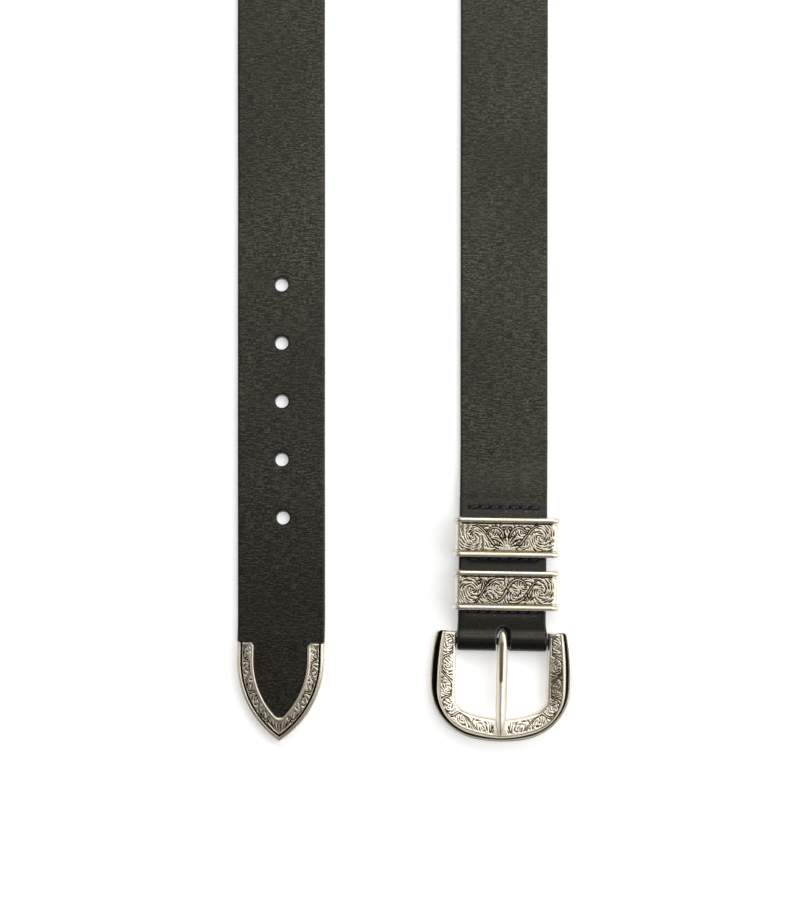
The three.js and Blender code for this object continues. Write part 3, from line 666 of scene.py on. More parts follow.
# Then laid along its way
def layStrap(piece):
    sizes = strapSizes
    flat = readPoints(piece) / mm
    x, at = flat[:, 0], flat[:, 1]
    depth = -flat[:, 2] / sizes["thickness"]
    half = sizes["width"] / 2
    fall = edgeDrop(half - np.abs(x), sizes["edgeRounding"])
    for cut in holeSpots + [slotSpot]:
        fall = np.maximum(fall, edgeDrop(np.clip(outsideCut(x, at, cut), 0, None), cut["rounding"]))
    fall = np.maximum(fall, edgeDrop(wayEnd - at, 0.3))
    grainSide = depth < 0.5

    # below the bar the slot closes in on the prong's eye
    fromSlot = x - sizes["slotAside"]
    fromSlotRim = outsideCut(x, at, slotSpot)
    fromFront = smoothStep((at - wayMarks["fold"] + 1.5) / 3.5)
    fromBelow = smoothStep((at - wayMarks["turned"] + 1.5) / 2.5)
    closer = sizes["slotPinchBelow"] - sizes["slotPinchFront"] + sizes["slotTaperBelow"] * grainSide
    closer = closer * fromBelow + sizes["slotPinchFront"] * fromFront
    pinched = sizes["slotShiftBelow"] * fromFront + closer * np.clip(fromSlot / 2.4, -1, 1)
    pinched *= smoothStep((sizes["slotSoft"] - np.abs(fromSlot)) / 1.3)
    atSlotEnd = smoothStep((at - slotSpot["at"] - slotSpot["straight"]) / 1.5)
    atSlotEnd *= smoothStep((3.6 - fromSlotRim) / 3.6) * grainSide
    at = at - sizes["slotSlantBelow"] * atSlotEnd

    # the punch went in a little askew
    for cut in holeSpots:
        fleshRim = smoothStep((1.2 - outsideCut(x, at, cut)) / 1.2) * (depth > 0.5)
        away = np.hypot(x - cut["aside"], at - cut["at"]) + 1e-6
        x = x - sizes["holeTaper"] * fleshRim * (x - cut["aside"]) / away
        at = at - sizes["holeTaper"] * fleshRim * (at - cut["at"]) / away - sizes["holeSlant"] * fleshRim

    # the spot on the way for each place
    values = alongLine(way[:, 0], way[:, 1:], at)
    spot, across, grain, thickness = values[:, :3], values[:, 3:6], values[:, 6:9], values[:, 9]
    across /= np.linalg.norm(across, axis=1)[:, None]
    grain /= np.linalg.norm(grain, axis=1)[:, None]
    fall = np.minimum(fall, thickness * 0.34)

    # narrower and pointed inside the tip
    inTip = at < tipSizes["length"] + 0.32
    narrow = np.where(inTip, tipHalfWidthAt(at, tipSizes["leatherInset"]) / half, 1.0)

    # the grain side is drawn in by each row of stitches and a little round each hole
    dip = np.zeros(len(x))
    sewn = sizes["stitchDip"] * smoothStep((17 - np.abs(x)) / 3)
    for fromBar in stitchRows.values():
        for rowAt in (wayMarks["bar"] - fromBar, wayMarks["turned"] + fromBar):
            dip = np.maximum(dip, sewn * np.exp(-(((at - rowAt) / 1.5) ** 2)))
    for cut in holeSpots:
        dip = np.maximum(dip, sizes["holeDip"] * np.exp(-np.clip(outsideCut(x, at, cut), 0, None) / 0.9))
    waves = np.array([
        noise.noise(Vector((u / 22, v / 34, 3.1))) + 0.45 * noise.noise(Vector((u / 9, v / 14, 8.7)))
        for u, v in zip(x, at)
    ])
    loose = smoothStep((at - 60) / 30) * smoothStep((wayMarks["bar"] - 66 - at) / 20)
    sway = np.array([noise.noise(Vector((v / 55, 1.7, 0))) for v in at]) * sizes["sway"] * loose
    height = thickness / 2 - depth * thickness + np.where(grainSide, -fall - dip, fall)
    height += sizes["waviness"] * waves * loose * grainSide

    # the leather spreads where it is folded, more on the picture's right
    spread = smoothStep((at - wayMarks["bar"] + 9) / 6) * smoothStep((wayMarks["turned"] + 9 - at) / 6)
    most = np.where(x < 0, sizes["foldSpread"], sizes["foldSpreadLeft"])
    spread *= most * np.clip((np.abs(x) - 8) / 11, 0, 1) * np.sign(x)
    aside = x * narrow + sway - pinched + spread
    laid = spot + across * aside[:, None] + grain * height[:, None]
    laid[:, 2] = np.maximum(laid[:, 2], 0)
    writePoints(piece, laid * mm)
    storeValue(piece, "flat", np.stack([x, at - wayMarks["bar"], depth], axis=-1) * [mm, mm, 1])
    # Painted highlight: a pale rim along the slot's cut edge, fainter on one side
    rim = smoothStep((0.42 - fromSlotRim) / 0.2) * (0.2 + 0.8 * smoothStep((fromSlot + 2.4) / 3))
    storeValue(piece, "rim", rim * grainSide)
    fromHole = np.min([outsideCut(x, at, cut) for cut in holeSpots], axis=0)
    # the rims of the holes take the edge colour: partly their dyed edge, partly painted shade
    storeValue(piece, "holeRimDyeAndShade", smoothStep((0.75 - fromHole) / 0.4) * grainSide)
    faceOutwards(piece)
    bpy.ops.object.shade_smooth_by_angle(angle=radians(50))


strap = cutStrap()
layStrap(strap)
print("strap:", len(strap.data.polygons), "faces")


# Stitches

stitchSizes = {
    "count": 7,
    "aside": 0.4,
    "pitch": 4.36,
    "length": 3.6,
    "plyRadius": 0.44,
    "plyOffset": 0.3,
    "turns": 1.2,
    "slant": 9,        # degrees
    "rise": 0.25,      # of its middle line over the leather
    "underHeight": 0.78,
}


# One stitch of two plies twisted together, its ends going down into the leather
def makeStitch():
    sizes = stitchSizes
    plies = []
    for ply in (0, 1):
        along = np.linspace(-1, 1, 17)
        turn = sizes["turns"] * pi * along + ply * pi
        middle = np.stack([
            along * sizes["length"] / 2,
            sizes["plyOffset"] * np.cos(turn),
            sizes["plyOffset"] * np.sin(turn) - 0.85 * np.abs(along) ** 5,
        ], axis=-1)
        ring = np.linspace(0, 2 * pi, 11)
        radius = sizes["plyRadius"] * (1 - 0.35 * np.abs(along) ** 6)
        around = np.stack([np.zeros(11), np.cos(ring), np.sin(ring)], axis=-1)
        places = middle[:, None, :] + radius[:, None, None] * around[None, :, :]
        plies.append(wrapGrid("ply", places, 1.0))
    return joined(plies, "stitch")


def sewRow(pattern, name, fromBar, height, upward):
    sizes = stitchSizes
    copies = []
    for i in range(sizes["count"]):
        stitch = pattern.copy()
        stitch.data = pattern.data.copy()
        bpy.context.collection.objects.link(stitch)
        points = readPoints(stitch) / mm * [1, 1, upward]
        x = (i - (sizes["count"] - 1) / 2) * sizes["pitch"] + sizes["aside"]
        wander = 0.12 * sin(5.1 * i + fromBar)
        points = laidAt(points, (x, fromBar + wander), radians(-sizes["slant"] * upward))
        points[:, 2] += height
        writePoints(stitch, laidAt(points, endOrigin, buckleEndLean) * mm)
        copies.append(stitch)
    row = joined(copies, name)
    faceOutwards(row)
    return row


stitch = makeStitch()
stitchPieces = []
for rowName, fromBar in stitchRows.items():
    layerTop = sum(float(alongTable(upperLayer, fromBar, column)) for column in ("underside", "thickness"))
    height = layerTop - strapSizes["stitchDip"] + stitchSizes["rise"]
    stitchPieces += [
        sewRow(stitch, f"stitches_{rowName}", fromBar, height, 1),
        sewRow(stitch, f"stitches_{rowName}_under", fromBar, stitchSizes["underHeight"], -1),
    ]
bpy.data.objects.remove(stitch)
print("stitches sewn")


# Keepers

keeperSizes = {
    "length": 17.1,
    "halfWidth": 22.5,
    "wall": 1.5,
    "cornerRadius": 3.1,
    "top": 13.6,
    "low": 5.9,
    "railRadius": 1.15,
    "panelHalfWidth": 5.65,
    "waist": 1.05,            # the sides are drawn in by this between the rails
    "legInset": 1.25,
    "barLength": 8,
    "barLow": 2.5,
    "relief": 0.27,
    "panelShadeTone": 0.68,        # the leafwork is painted darker than the rails, as painted shade
    "panelHalfLength": 20.3,  # the leafwork ends here, towards the corners
    "endBow": 1.3,            # and sooner beside the rails
    "grooveTone": 0.16,
    "lowerGrooveLight": 0.3,   # the lower groove is painted lighter by this, as painted light
    "grooveFill": 0.22,       # and shallower by this, as both are at the corners
}
keeperPlaces = [
    {"name": "keeper_lower", "fromBar": 22.8, "aside": 1.25},
    {"name": "keeper_upper", "fromBar": 45.6, "aside": 1.1},
]


# The outer face from one foot over the top to the other: place, direction out and
# the distance from the middle of the top
def archWay():
    sizes = keeperSizes
    flat = sizes["halfWidth"] - sizes["cornerRadius"]
    corner = pi / 2 * sizes["cornerRadius"]
    wall = sizes["top"] - sizes["cornerRadius"] - sizes["low"]
    right = stepped(0, [(flat, 0.12), (flat + corner, 0.17), (flat + corner + wall, 0.55)])
    u = np.concatenate([-right[:0:-1], right])
    away = np.abs(u)
    angle = np.clip((away - flat) / sizes["cornerRadius"], 0, pi / 2)
    down = np.clip(away - flat - corner, 0, None)
    x = np.minimum(away, flat) + sizes["cornerRadius"] * np.sin(angle)
    z = sizes["top"] - sizes["cornerRadius"] * (1 - np.cos(angle)) - down
    side = np.sign(u)
    return u, np.stack([x * side, z], axis=-1), np.stack([np.sin(angle) * side, np.cos(angle)], axis=-1)


def keeperSection():
    sizes = keeperSizes
    half = sizes["length"] / 2
    radius = sizes["railRadius"]
    middle = half - radius
    turns = [(-cos(a), sin(a)) for a in np.linspace(0.1, pi, 14)]
    rail = [
        (middle + radius * np.sign(x) * abs(x) ** 0.85, -0.4 + radius * abs(z) ** 0.75)
        for x, z in turns
    ]
    wide = sizes["panelHalfWidth"]
    right = [(0, 0), (wide, 0), (wide + 0.08, -0.4), (middle - radius - 0.05, -0.45), *rail,
             (half, -sizes["wall"] + 0.2), (half - 0.25, -sizes["wall"])]
    corners = [(-across, height) for across, height in reversed(right[1:])] + right
    # going from left to right, a corner's part is that of the stretch that follows it
    steps = {"panel": 0.12, "groove": 0.13, "rail": 0.17, "inside": 3.0}
    parts = []
    for i, (across, height) in enumerate(corners):
        nextAcross, nextHeight = corners[(i + 1) % len(corners)]
        centre = abs(across + nextAcross) / 2
        if height <= -1.2 and nextHeight <= -1.2:
            parts.append("inside")
        elif centre < wide and height > -0.2:
            parts.append("panel")
        elif centre < middle - radius + 0.1:
            parts.append("groove")
        else:
            parts.append("rail")
    rows = [(a, h, steps[part], part) for (a, h), part in zip(corners, parts)]
    return sectionOutline(rows, 0.06)


def drawUpperPanel(field, uAt, vAt):
    whorls = []
    for side in (1, -1):
        whorls += [
            {"centre": (side * 14.4, 0.1), "hand": side, "reach": 9.5, "weight": 2.4},
            {"centre": (side * 7.6, 2.3), "hand": -side, "reach": 6, "weight": 0.4},
            {"centre": (side * 5.9, -2.7), "hand": side, "reach": 6, "weight": 0.0},
        ]
    drawWhorls(field, uAt, vAt, whorls, seed=11, bold=0.88)
    for side in (1, -1):
        drawStem(field, uAt, vAt, bezier(
            (side * 1.2, -4.6), (side * 6.5, -6.0), (side * 8.6, 4.4), (side * 13.0, 4.9), 30))
        drawStem(field, uAt, vAt, bezier(
            (side * 1.0, 0.2), (side * 2.6, 5.6), (side * 7.4, 5.2), (side * 8.4, 1.6), 30), 0.4)
    drawFan(field, uAt, vAt, (0, -4.9), pi / 2, 2.3, 8.8, 7, clear=3.6)
    drawFan(field, uAt, vAt, (0, 5.0), -pi / 2, 2.0, 3.2, 4, clear=1.5)


def drawLowerPanel(field, uAt, vAt):
    # half a turn brings one half of this panel onto the other
    whorls = []
    for side in (1, -1):
        whorls += [
            {"centre": (side * 14.8, side * -0.3), "hand": 1, "reach": 9.5, "weight": 2.2},
            {"centre": (side * 8.2, side * 2.2), "hand": -1, "reach": 6, "weight": 0.2},
            {"centre": (side * 3.4, side * -1.7), "hand": 1, "reach": 6, "weight": 0.6},
        ]
    drawWhorls(field, uAt, vAt, whorls, seed=29, bold=0.88)
    for side in (1, -1):
        drawStem(field, uAt, vAt, bezier(
            (0, 0), (side * 2.4, side * 5.8), (side * 6.4, side * 5.8), (side * 8.3, side * 2.4), 30))
        drawStem(field, uAt, vAt, bezier(
            (side * 1.4, side * -4.9), (side * 8.0, side * -6.2), (side * 9.4, side * 0.6),
            (side * 12.8, side * 4.6), 30), 0.42)
        drawFan(field, uAt, vAt, (side * 9.8, side * -5.0), side * (pi / 2 + 0.25), 1.7, 4.2, 4, clear=1.2)


def makeKeeper(place, drawPanel):
    sizes = keeperSizes
    u, spots, out = archWay()
    section, parts = keeperSection()
    across, height = section[:, 0], section[:, 1]
    panel = np.flatnonzero(parts == "panel")
    panel = np.append(panel, panel[-1] + 1)
    order = panel[np.argsort(across[panel])]
    uInside = np.flatnonzero(np.abs(u) < sizes["panelHalfLength"] + 2.6)
    field = farField(u[uInside], across[order])
    drawPanel(field, u[uInside], across[order])
    panelEnd = sizes["panelHalfLength"] - sizes["endBow"] * (across[order] / sizes["panelHalfWidth"]) ** 4
    bare = (np.abs(u[uInside])[:, None] - panelEnd[None, :]) * 0.9
    field = softened(np.maximum(field, bare))
    relief = np.zeros((len(u), len(across)))
    relief[:, order] = 1
    relief[np.ix_(uInside, order)] = reliefOf(field)
    fromGroove = sizes["panelHalfWidth"] + 0.05 - np.abs(across[order])
    relief[:, order] *= smoothStep(fromGroove / 0.3)[None, :]
    # the grooves beside the rails run out at the corners
    runOut = smoothStep((np.abs(u) - sizes["halfWidth"] + sizes["cornerRadius"] + 0.2) / 1.0)
    # Painted light: the lower groove beside the rails is painted lighter than the upper one
    lowerGrooveLit = np.where(across < 0, sizes["lowerGrooveLight"], 0.0) * (parts == "groove")
    tone = toneOf(parts, darkest=sizes["grooveTone"]) + lowerGrooveLit
    tone = np.maximum(tone[None, :], 0.9 * runOut[:, None])
    tone[:, order] = 1
    # painted shade: the leafwork is painted darker than the rails
    tone[np.ix_(uInside, order)] = toneOfCuts(field) * (1 - (1 - sizes["panelShadeTone"]) * smoothStep(1 - bare))

    low = smoothStep((sizes["top"] - 0.5 - spots[:, 1]) / 2.4)
    bowed = (1 - (across / (sizes["length"] / 2)) ** 2) * np.clip((height + sizes["wall"]) / 0.9, 0, 1)
    waist = sizes["waist"] * low[:, None] * bowed[None, :]
    filled = np.where(parts == "groove", sizes["grooveFill"], 0.0)[None, :]
    filled = filled * np.maximum(runOut[:, None], (across < 0)[None, :])
    lift = height[None, :] + filled + sizes["relief"] * relief - waist
    places = np.empty((len(u), len(across), 3))
    places[..., 0] = spots[:, 0, None] + out[:, 0, None] * lift
    places[..., 1] = across[None, :]
    places[..., 2] = spots[:, 1, None] + out[:, 1, None] * lift
    origin = spotAt(place["aside"], place["fromBar"], endOrigin, buckleEndLean)
    arch = wrapGrid(place["name"] + "_casting", laidAt(places, origin, buckleEndLean), tone)

    # the bar behind, between the strap's two layers, and the two legs that carry it
    half, inner = sizes["barLength"] / 2, sizes["halfWidth"] - sizes["wall"]
    outer = sizes["halfWidth"] - sizes["legInset"]
    barTop = sizes["barLow"] + keeperBarThickness
    boxes = [("bar", (-inner - 0.4, -half, sizes["barLow"]), (inner + 0.4, half, barTop), 0.2)]
    for side in (-1, 1):
        left, right = sorted((side * (inner - 0.2), side * outer))
        boxes.append(("leg", (left, -half, sizes["barLow"]), (right, half, sizes["low"] + 1.2), 0.25))
    blocks = [addBlock(*box, origin, buckleEndLean) for box in boxes]
    return joined([arch] + blocks, place["name"] + "_casting")


keepers = {}
for place, drawPanel in zip(keeperPlaces, (drawLowerPanel, drawUpperPanel)):
    keepers[place["name"]] = makeKeeper(place, drawPanel)
    print(place["name"], len(keepers[place["name"]].data.polygons), "faces")


# Buckle frame

buckleSizes = {
    "armTop": 4,
    "end": -43.95,
    "sideHalf": 31.0,
    "sideWidestAt": -15.9,
    "sideRadius": 88,
    "cornerRadius": 25,
    "endRadius": 58,
    "windowHalf": 19.9,
    "windowEnd": -33.8,
    "windowCorner": 7,
    "windowEndRadius": 40,
    "relief": 0.27,
    "rowStep": 0.16,
    "armRounding": 0.8,
    "frontBorder": 0.55,      # plain metal between the edge and the leafwork
    "rightArmShade": 0.42,          # how much darker the right arm's band is painted, as painted shade
    "bandEnd": 9.4,           # from the outer edge
    "barRadius": 1.5,
    "barTone": 0.12,
    "evened": 140,            # times that the spacing of the rows is evened out
}
bandWidth = 10.8    # from the outer edge to the window, at the widest

# Across, height, spacing of the points, part
buckleSection = [
    (0.35, 0.0, 0.5, "outer"),
    (0.0, 0.4, 0.7, "outer"),
    (0.0, 2.5, 0.2, "outer"),
    (0.12, 2.98, 0.2, "rim"),
    (0.4, 3.25, 0.2, "rim"),
    (0.75, 3.3, 0.2, "rim"),
    (1.05, 3.15, 0.18, "rim"),
    (1.2, 2.8, 0.18, "rim"),
    (1.3, 2.1, 0.3, "groove"),
    (2.45, 2.05, 0.3, "groove"),
    (2.55, 4.6, 0.8, "wall"),
    (2.6, 6.3, 0.25, "edge"),
    (2.78, 6.95, 0.18, "edge"),
    (3.15, 7.4, 0.18, "edge"),
    (3.6, 7.62, 0.16, "edge"),
    (3.9, 7.55, 0.14, "edge"),
    (4.0, 7.25, 0.14, "band"),
    (6.2, 7.05, 0.14, "band"),
    (8.9, 6.35, 0.25, "inner"),
    (9.9, 6.05, 0.25, "inner"),
    (10.5, 5.75, 0.2, "inner"),
    (10.75, 5.4, 0.25, "inner"),
    (10.8, 4.9, 0.9, "window"),
    (10.8, 0.4, 0.4, "window"),
    (10.45, 0.0, 1.8, "under"),
]

# Where the rim, the groove, the plain edge and the band end in this section
sectionMarks = [0, 1.25, 2.5, 3.95, 8.9, bandWidth]

# How far in the rim, the groove and the edge really reach, from the middle of the front
# round to each arm's end
buckleEdges = {
    "left": tableOf(("at", "rim", "groove", "edge"), [
        (0, 1.5, 2.3, 3.15),
        (20, 1.35, 2.4, 3.5),
        (34, 1.15, 2.9, 4.3),
        (50, 1.2, 3.0, 4.5),
        (60, 1.75, 3.1, 4.4),
        (66, 2.8, 3.4, 4.3),
    ]),
    "right": tableOf(("at", "rim", "groove", "edge"), [
        (0, 1.5, 2.3, 3.15),
        (20, 1.6, 2.55, 3.5),
        (34, 2.0, 2.95, 4.3),
        (50, 2.0, 2.95, 4.4),
        (60, 2.1, 3.0, 4.4),
        (66, 3.0, 3.5, 4.3),
    ]),
}


def arcPoints(centre, radius, start, end, step=0.05):
    count = max(2, int(abs(end - start) * radius / step))
    angle = np.linspace(start, end, count)
    return np.stack([centre[0] + radius * np.cos(angle), centre[1] + radius * np.sin(angle)], axis=-1)


def lineLengths(points):
    return np.concatenate([[0], np.cumsum(np.hypot(*np.diff(points, axis=0).T))])


# Where a circle lies that touches two larger circles from inside
def touching(a, ra, b, rb, radius):
    ra, rb = ra - radius, rb - radius
    d = hypot(b[0] - a[0], b[1] - a[1])
    t = (ra**2 - rb**2 + d**2) / (2 * d)
    h = sqrt(ra**2 - t**2)
    ux, uy = (b[0] - a[0]) / d, (b[1] - a[1]) / d
    return a[0] + t * ux + h * uy, a[1] + t * uy - h * ux


# Both outlines of the right half, from the arm's end round to the middle of the front
def horseshoe():
    sizes = buckleSizes
    side = (sizes["sideHalf"] - sizes["sideRadius"], sizes["sideWidestAt"])
    end = (0, sizes["end"] + sizes["endRadius"])
    corner = touching(side, sizes["sideRadius"], end, sizes["endRadius"], sizes["cornerRadius"])
    top = asin((sizes["armTop"] - side[1]) / sizes["sideRadius"])
    sideAngle = atan2(corner[1] - side[1], corner[0] - side[0])
    endAngle = atan2(corner[1] - end[1], corner[0] - end[0])
    outer = [arcPoints(side, sizes["sideRadius"], top, sideAngle),
             arcPoints(corner, sizes["cornerRadius"], sideAngle, endAngle),
             arcPoints(end, sizes["endRadius"], endAngle, -pi / 2)]
    cornerX = sizes["windowHalf"] - sizes["windowCorner"]
    endY = sizes["windowEnd"] + sizes["windowEndRadius"]
    cornerY = endY - sqrt((sizes["windowEndRadius"] - sizes["windowCorner"]) ** 2 - cornerX**2)
    windowAngle = atan2(cornerY - endY, cornerX)
    sideY = np.linspace(sizes["armTop"], cornerY, 500)
    inner = [np.stack([np.full(500, sizes["windowHalf"]), sideY], axis=-1),
             arcPoints((cornerX, cornerY), sizes["windowCorner"], 0, windowAngle),
             arcPoints((0, endY), sizes["windowEndRadius"], windowAngle, -pi / 2)]
    return outer, inner


# Rows that cross the frame from its outer edge to the window, turning evenly
def buckleRows():
    outer, inner = horseshoe()
    outerEnds = np.cumsum([0] + [lineLengths(p)[-1] for p in outer])
    innerEnds = np.cumsum([0] + [lineLengths(p)[-1] for p in inner])
    middleEnds = (outerEnds + innerEnds) / 2
    share = np.append(np.arange(0, middleEnds[-1], 0.2), middleEnds[-1])
    outerAt = np.interp(share, middleEnds, outerEnds)
    innerAt = np.interp(share, middleEnds, innerEnds)
    for _ in range(buckleSizes["evened"]):
        outerAt[1:-1] = (outerAt[:-2] + 2 * outerAt[1:-1] + outerAt[2:]) / 4
        innerAt[1:-1] = (innerAt[:-2] + 2 * innerAt[1:-1] + innerAt[2:]) / 4
    outerLine, innerLine = np.vstack(outer), np.vstack(inner)
    outerSpots = alongLine(lineLengths(outerLine), outerLine, outerAt)
    innerSpots = alongLine(lineLengths(innerLine), innerLine, innerAt)
    travelled = lineLengths(outerSpots * 0.42 + innerSpots * 0.58)
    armEnd = travelled[-1]
    fromMiddle = armEnd - travelled
    u = stepped(0, [(armEnd - 0.9, buckleSizes["rowStep"]), (armEnd - 0.2, 0.12), (armEnd, 0.05)])
    outerRow, innerRow = (
        alongLine(fromMiddle[::-1], spots[::-1], u)
        for spots in (outerSpots, innerSpots)
    )
    return u, outerRow, innerRow


def makeBuckle():
    sizes = buckleSizes
    u, outer, inner = buckleRows()
    section, parts = sectionOutline(buckleSection, 0.07)
    across, height = section[:, 0], section[:, 1]
    band = np.flatnonzero(parts == "band")
    band = np.append(band, band[-1] + 1)
    v = across[band]
    field = farField(u, v)
    drawBand(field, u, v, 3.2, u[-1] - 1.0, v[0], v[-1], pitch=8.4, seed=5, bold=0.72, ringPitch=1.08)
    border = 0.35 + sizes["frontBorder"] * smoothStep((26 - u) / 10)
    bare = np.maximum(v[0] + border[:, None] - v[None, :], (v - v[-1] + 0.2)[None, :])
    bare = np.maximum(bare, (3.0 - u)[:, None])
    field = softened(np.maximum(field, np.maximum(bare, (u - u[-1] + 1.2)[:, None])))
    tone = np.ones((len(u), len(across))) * toneOf(parts, ("groove", "wall"))[None, :]
    tone[:, band] = toneOfCuts(field) * (1 - 0.7 * smoothStep((v[0] + 0.38 - v) / 0.22))[None, :]
    top = np.tile(height, (len(u), 1))
    top[:, band] += sizes["relief"] * (reliefOf(field) - 1)
    inside = u[-1] - u
    top -= edgeDrop(inside, sizes["armRounding"])[:, None] * (height / height.max())[None, :]
    halves = {}
    for side, rows in buckleEdges.items():
        edges = [alongTable(rows, u, column) for column in ("rim", "groove", "edge")]
        reach = np.array([
            np.interp(across, sectionMarks, [0, *ends, sizes["bandEnd"], bandWidth])
            for ends in zip(*edges)
        ])
        drawnIn = edgeDrop(inside, 1.3)[:, None] * (1 - across / bandWidth) ** 3
        share = (reach + drawnIn) / bandWidth
        places = np.empty((len(u), len(across), 3))
        places[..., :2] = outer[:, None, :] * (1 - share[..., None]) + inner[:, None, :] * share[..., None]
        places[..., 2] = top
        halves[side] = places
    places = np.concatenate([halves["left"][:0:-1] * [-1, 1, 1], halves["right"]])
    # Painted shade: the right arm's band is painted darker along its length, where it faces away from the
    # lamps
    shadeAlongRightArm = smoothStep((u - 24) / 12) * smoothStep((u[-1] - 4 - u) / 14)
    rightArmShadedTone = tone.copy()
    onArm = smoothStep((across - 4.0) / 0.4) * smoothStep((9.8 - across) / 1.4) * (height > 3)
    rightArmShadedTone *= 1 - sizes["rightArmShade"] * shadeAlongRightArm[:, None] * onArm[None, :]
    tone = np.concatenate([tone[:0:-1], rightArmShadedTone])
    frameBody = wrapGrid("buckle_frame_casting", laidAt(places, barSpot, buckleLean), tone)

    bpy.ops.object.select_all(action="DESELECT")
    bpy.ops.mesh.primitive_cylinder_add(
        vertices=48, radius=sizes["barRadius"] * mm, depth=2 * (sizes["windowHalf"] + 1.2) * mm,
        rotation=(0, pi / 2, 0))
    bar = bpy.context.object
    bpy.ops.object.transform_apply(location=True, rotation=True, scale=True)
    points = readPoints(bar) / mm + [0, 0, layout["barHeight"]]
    writePoints(bar, laidAt(points, barSpot, buckleLean) * mm)
    storeValue(bar, "tone", np.full(len(bar.data.vertices), sizes["barTone"]))
    bpy.ops.object.shade_smooth_by_angle(angle=radians(40))
    return joined([frameBody, bar], "buckle_frame_casting")


buckle = makeBuckle()
print("buckle frame:", len(buckle.data.polygons), "faces")


# Prong

prongSizes = {
    "eyeInner": 1.8,
    "eyeOuter": 3.7,
    "eyeBack": 5.2,      # how far its heel reaches behind the bar
    "eyeHalves": ((-90, 1.7), (-35, 1.45), (17, 1.3), (75, 1.95)),    # half of its width by degrees
    "eyeStart": -125,
    "underRidge": 3.4,   # the greater, the squarer the section is
    "shoulder": -0.24,   # where the section is widest, as a share of half its height
    # a darker stripe down the left facet near the eye, which is painted shade
    "waxed": {"aside": -0.25, "width": 0.95, "from": 2.2, "to": -19, "share": 0.72},
}
prongShank = tableOf(("at", "underside", "top", "half", "ridge"), [
    (0, 5.95, 7.87, 2.05, 2.0),
    (4, 5.75, 8.2, 2.3, 1.9),
    (12, 5.95, 8.95, 2.5, 1.55),
    (22, 6.75, 9.8, 2.4, 1.3),
    (30, 7.45, 10.22, 2.34, 1.22),
    (34, 7.8, 10.3, 2.08, 1.22),
    (36.6, 8.02, 10.2, 1.7, 1.25),
    (38.6, 8.18, 9.92, 1.15, 1.35),
    (39.9, 8.32, 9.5, 0.6, 1.5),
    (40.6, 8.5, 9.05, 0.14, 1.8),
])


def makeProng():
    sizes = prongSizes
    stations = []
    half = (sizes["eyeOuter"] - sizes["eyeInner"]) / 2
    for angle in np.linspace(radians(sizes["eyeStart"]), pi / 2, 70)[:-1]:
        grown = float(smoothStep((angle - radians(sizes["eyeStart"])) / 0.7))
        back, top = abs(cos(angle)) / sizes["eyeBack"], max(sin(angle), 0) / sizes["eyeOuter"]
        lobe = ((back**4 + top**4) ** -0.25 - sizes["eyeOuter"]) * float(smoothStep((angle - 0.2) / 0.3))
        thick = half * (0.35 + 0.65 * grown) + lobe / 2
        reach = sizes["eyeInner"] + half + lobe / 2
        centre = (reach * cos(angle), layout["barHeight"] + reach * sin(angle))
        width = np.interp(degrees(angle), *zip(*sizes["eyeHalves"]))
        stations.append((centre, (cos(angle), sin(angle)), thick, width, 2.0))
    for at in stepped(0, [(37, 0.45), (40.6, 0.2)]):
        low, top, width, ridge = (
            (alongRows(prongShank, at - 0.5, column) + alongRows(prongShank, at + 0.5, column)) / 2
            for column in ("underside", "top", "half", "ridge")
        )
        stations.append(((-at, (low + top) / 2), (0, 1), (top - low) / 2, width, ridge))
    around = np.linspace(0, 2 * pi, 49)
    places = np.empty((len(stations), len(around), 3))
    for row, ((y, z), (outY, outZ), half, width, ridge) in enumerate(stations):
        upper = np.sin(around) > 0
        power = np.where(upper, ridge, sizes["underRidge"])
        x = width * np.sign(np.cos(around)) * np.abs(np.cos(around)) ** (2 / power)
        rise = np.abs(np.sin(around)) ** (2 / power)
        shoulder = sizes["shoulder"] * half
        lift = np.where(upper, shoulder + (half - shoulder) * rise, shoulder - (half + shoulder) * rise)
        places[row, :, 0] = x
        places[row, :, 1] = y + outY * lift
        places[row, :, 2] = z + outZ * lift
    # Painted shade: a dark stripe down the left facet near the eye, and the eye's back behind the bar
    # painted darker too
    waxed = sizes["waxed"]
    x, y, z = (places[..., k] for k in range(3))
    dark = np.exp(-(((x - waxed["aside"]) / waxed["width"]) ** 4))
    dark *= smoothStep((waxed["from"] - y) / 3) * smoothStep((y - waxed["to"]) / 3)
    dark *= smoothStep((z - layout["barHeight"] - 2) / 1.5)
    eye = 0.3 * smoothStep((y - 2.2) / 1.2)
    return wrapGrid("prong_casting", laidAt(places, barSpot, buckleLean), 1 - waxed["share"] * dark - eye)


prong = makeProng()
print("prong:", len(prong.data.polygons), "faces")


# Tip

tipSizes.update({
    "armWidth": 7.5,
    "middleInset": 4.4,    # the relief is drawn along the line at this inset
    "windowPointRadius": 3,
    "armCorner": 2,
    "relief": 0.34,
    "rowStep": 0.14,
})

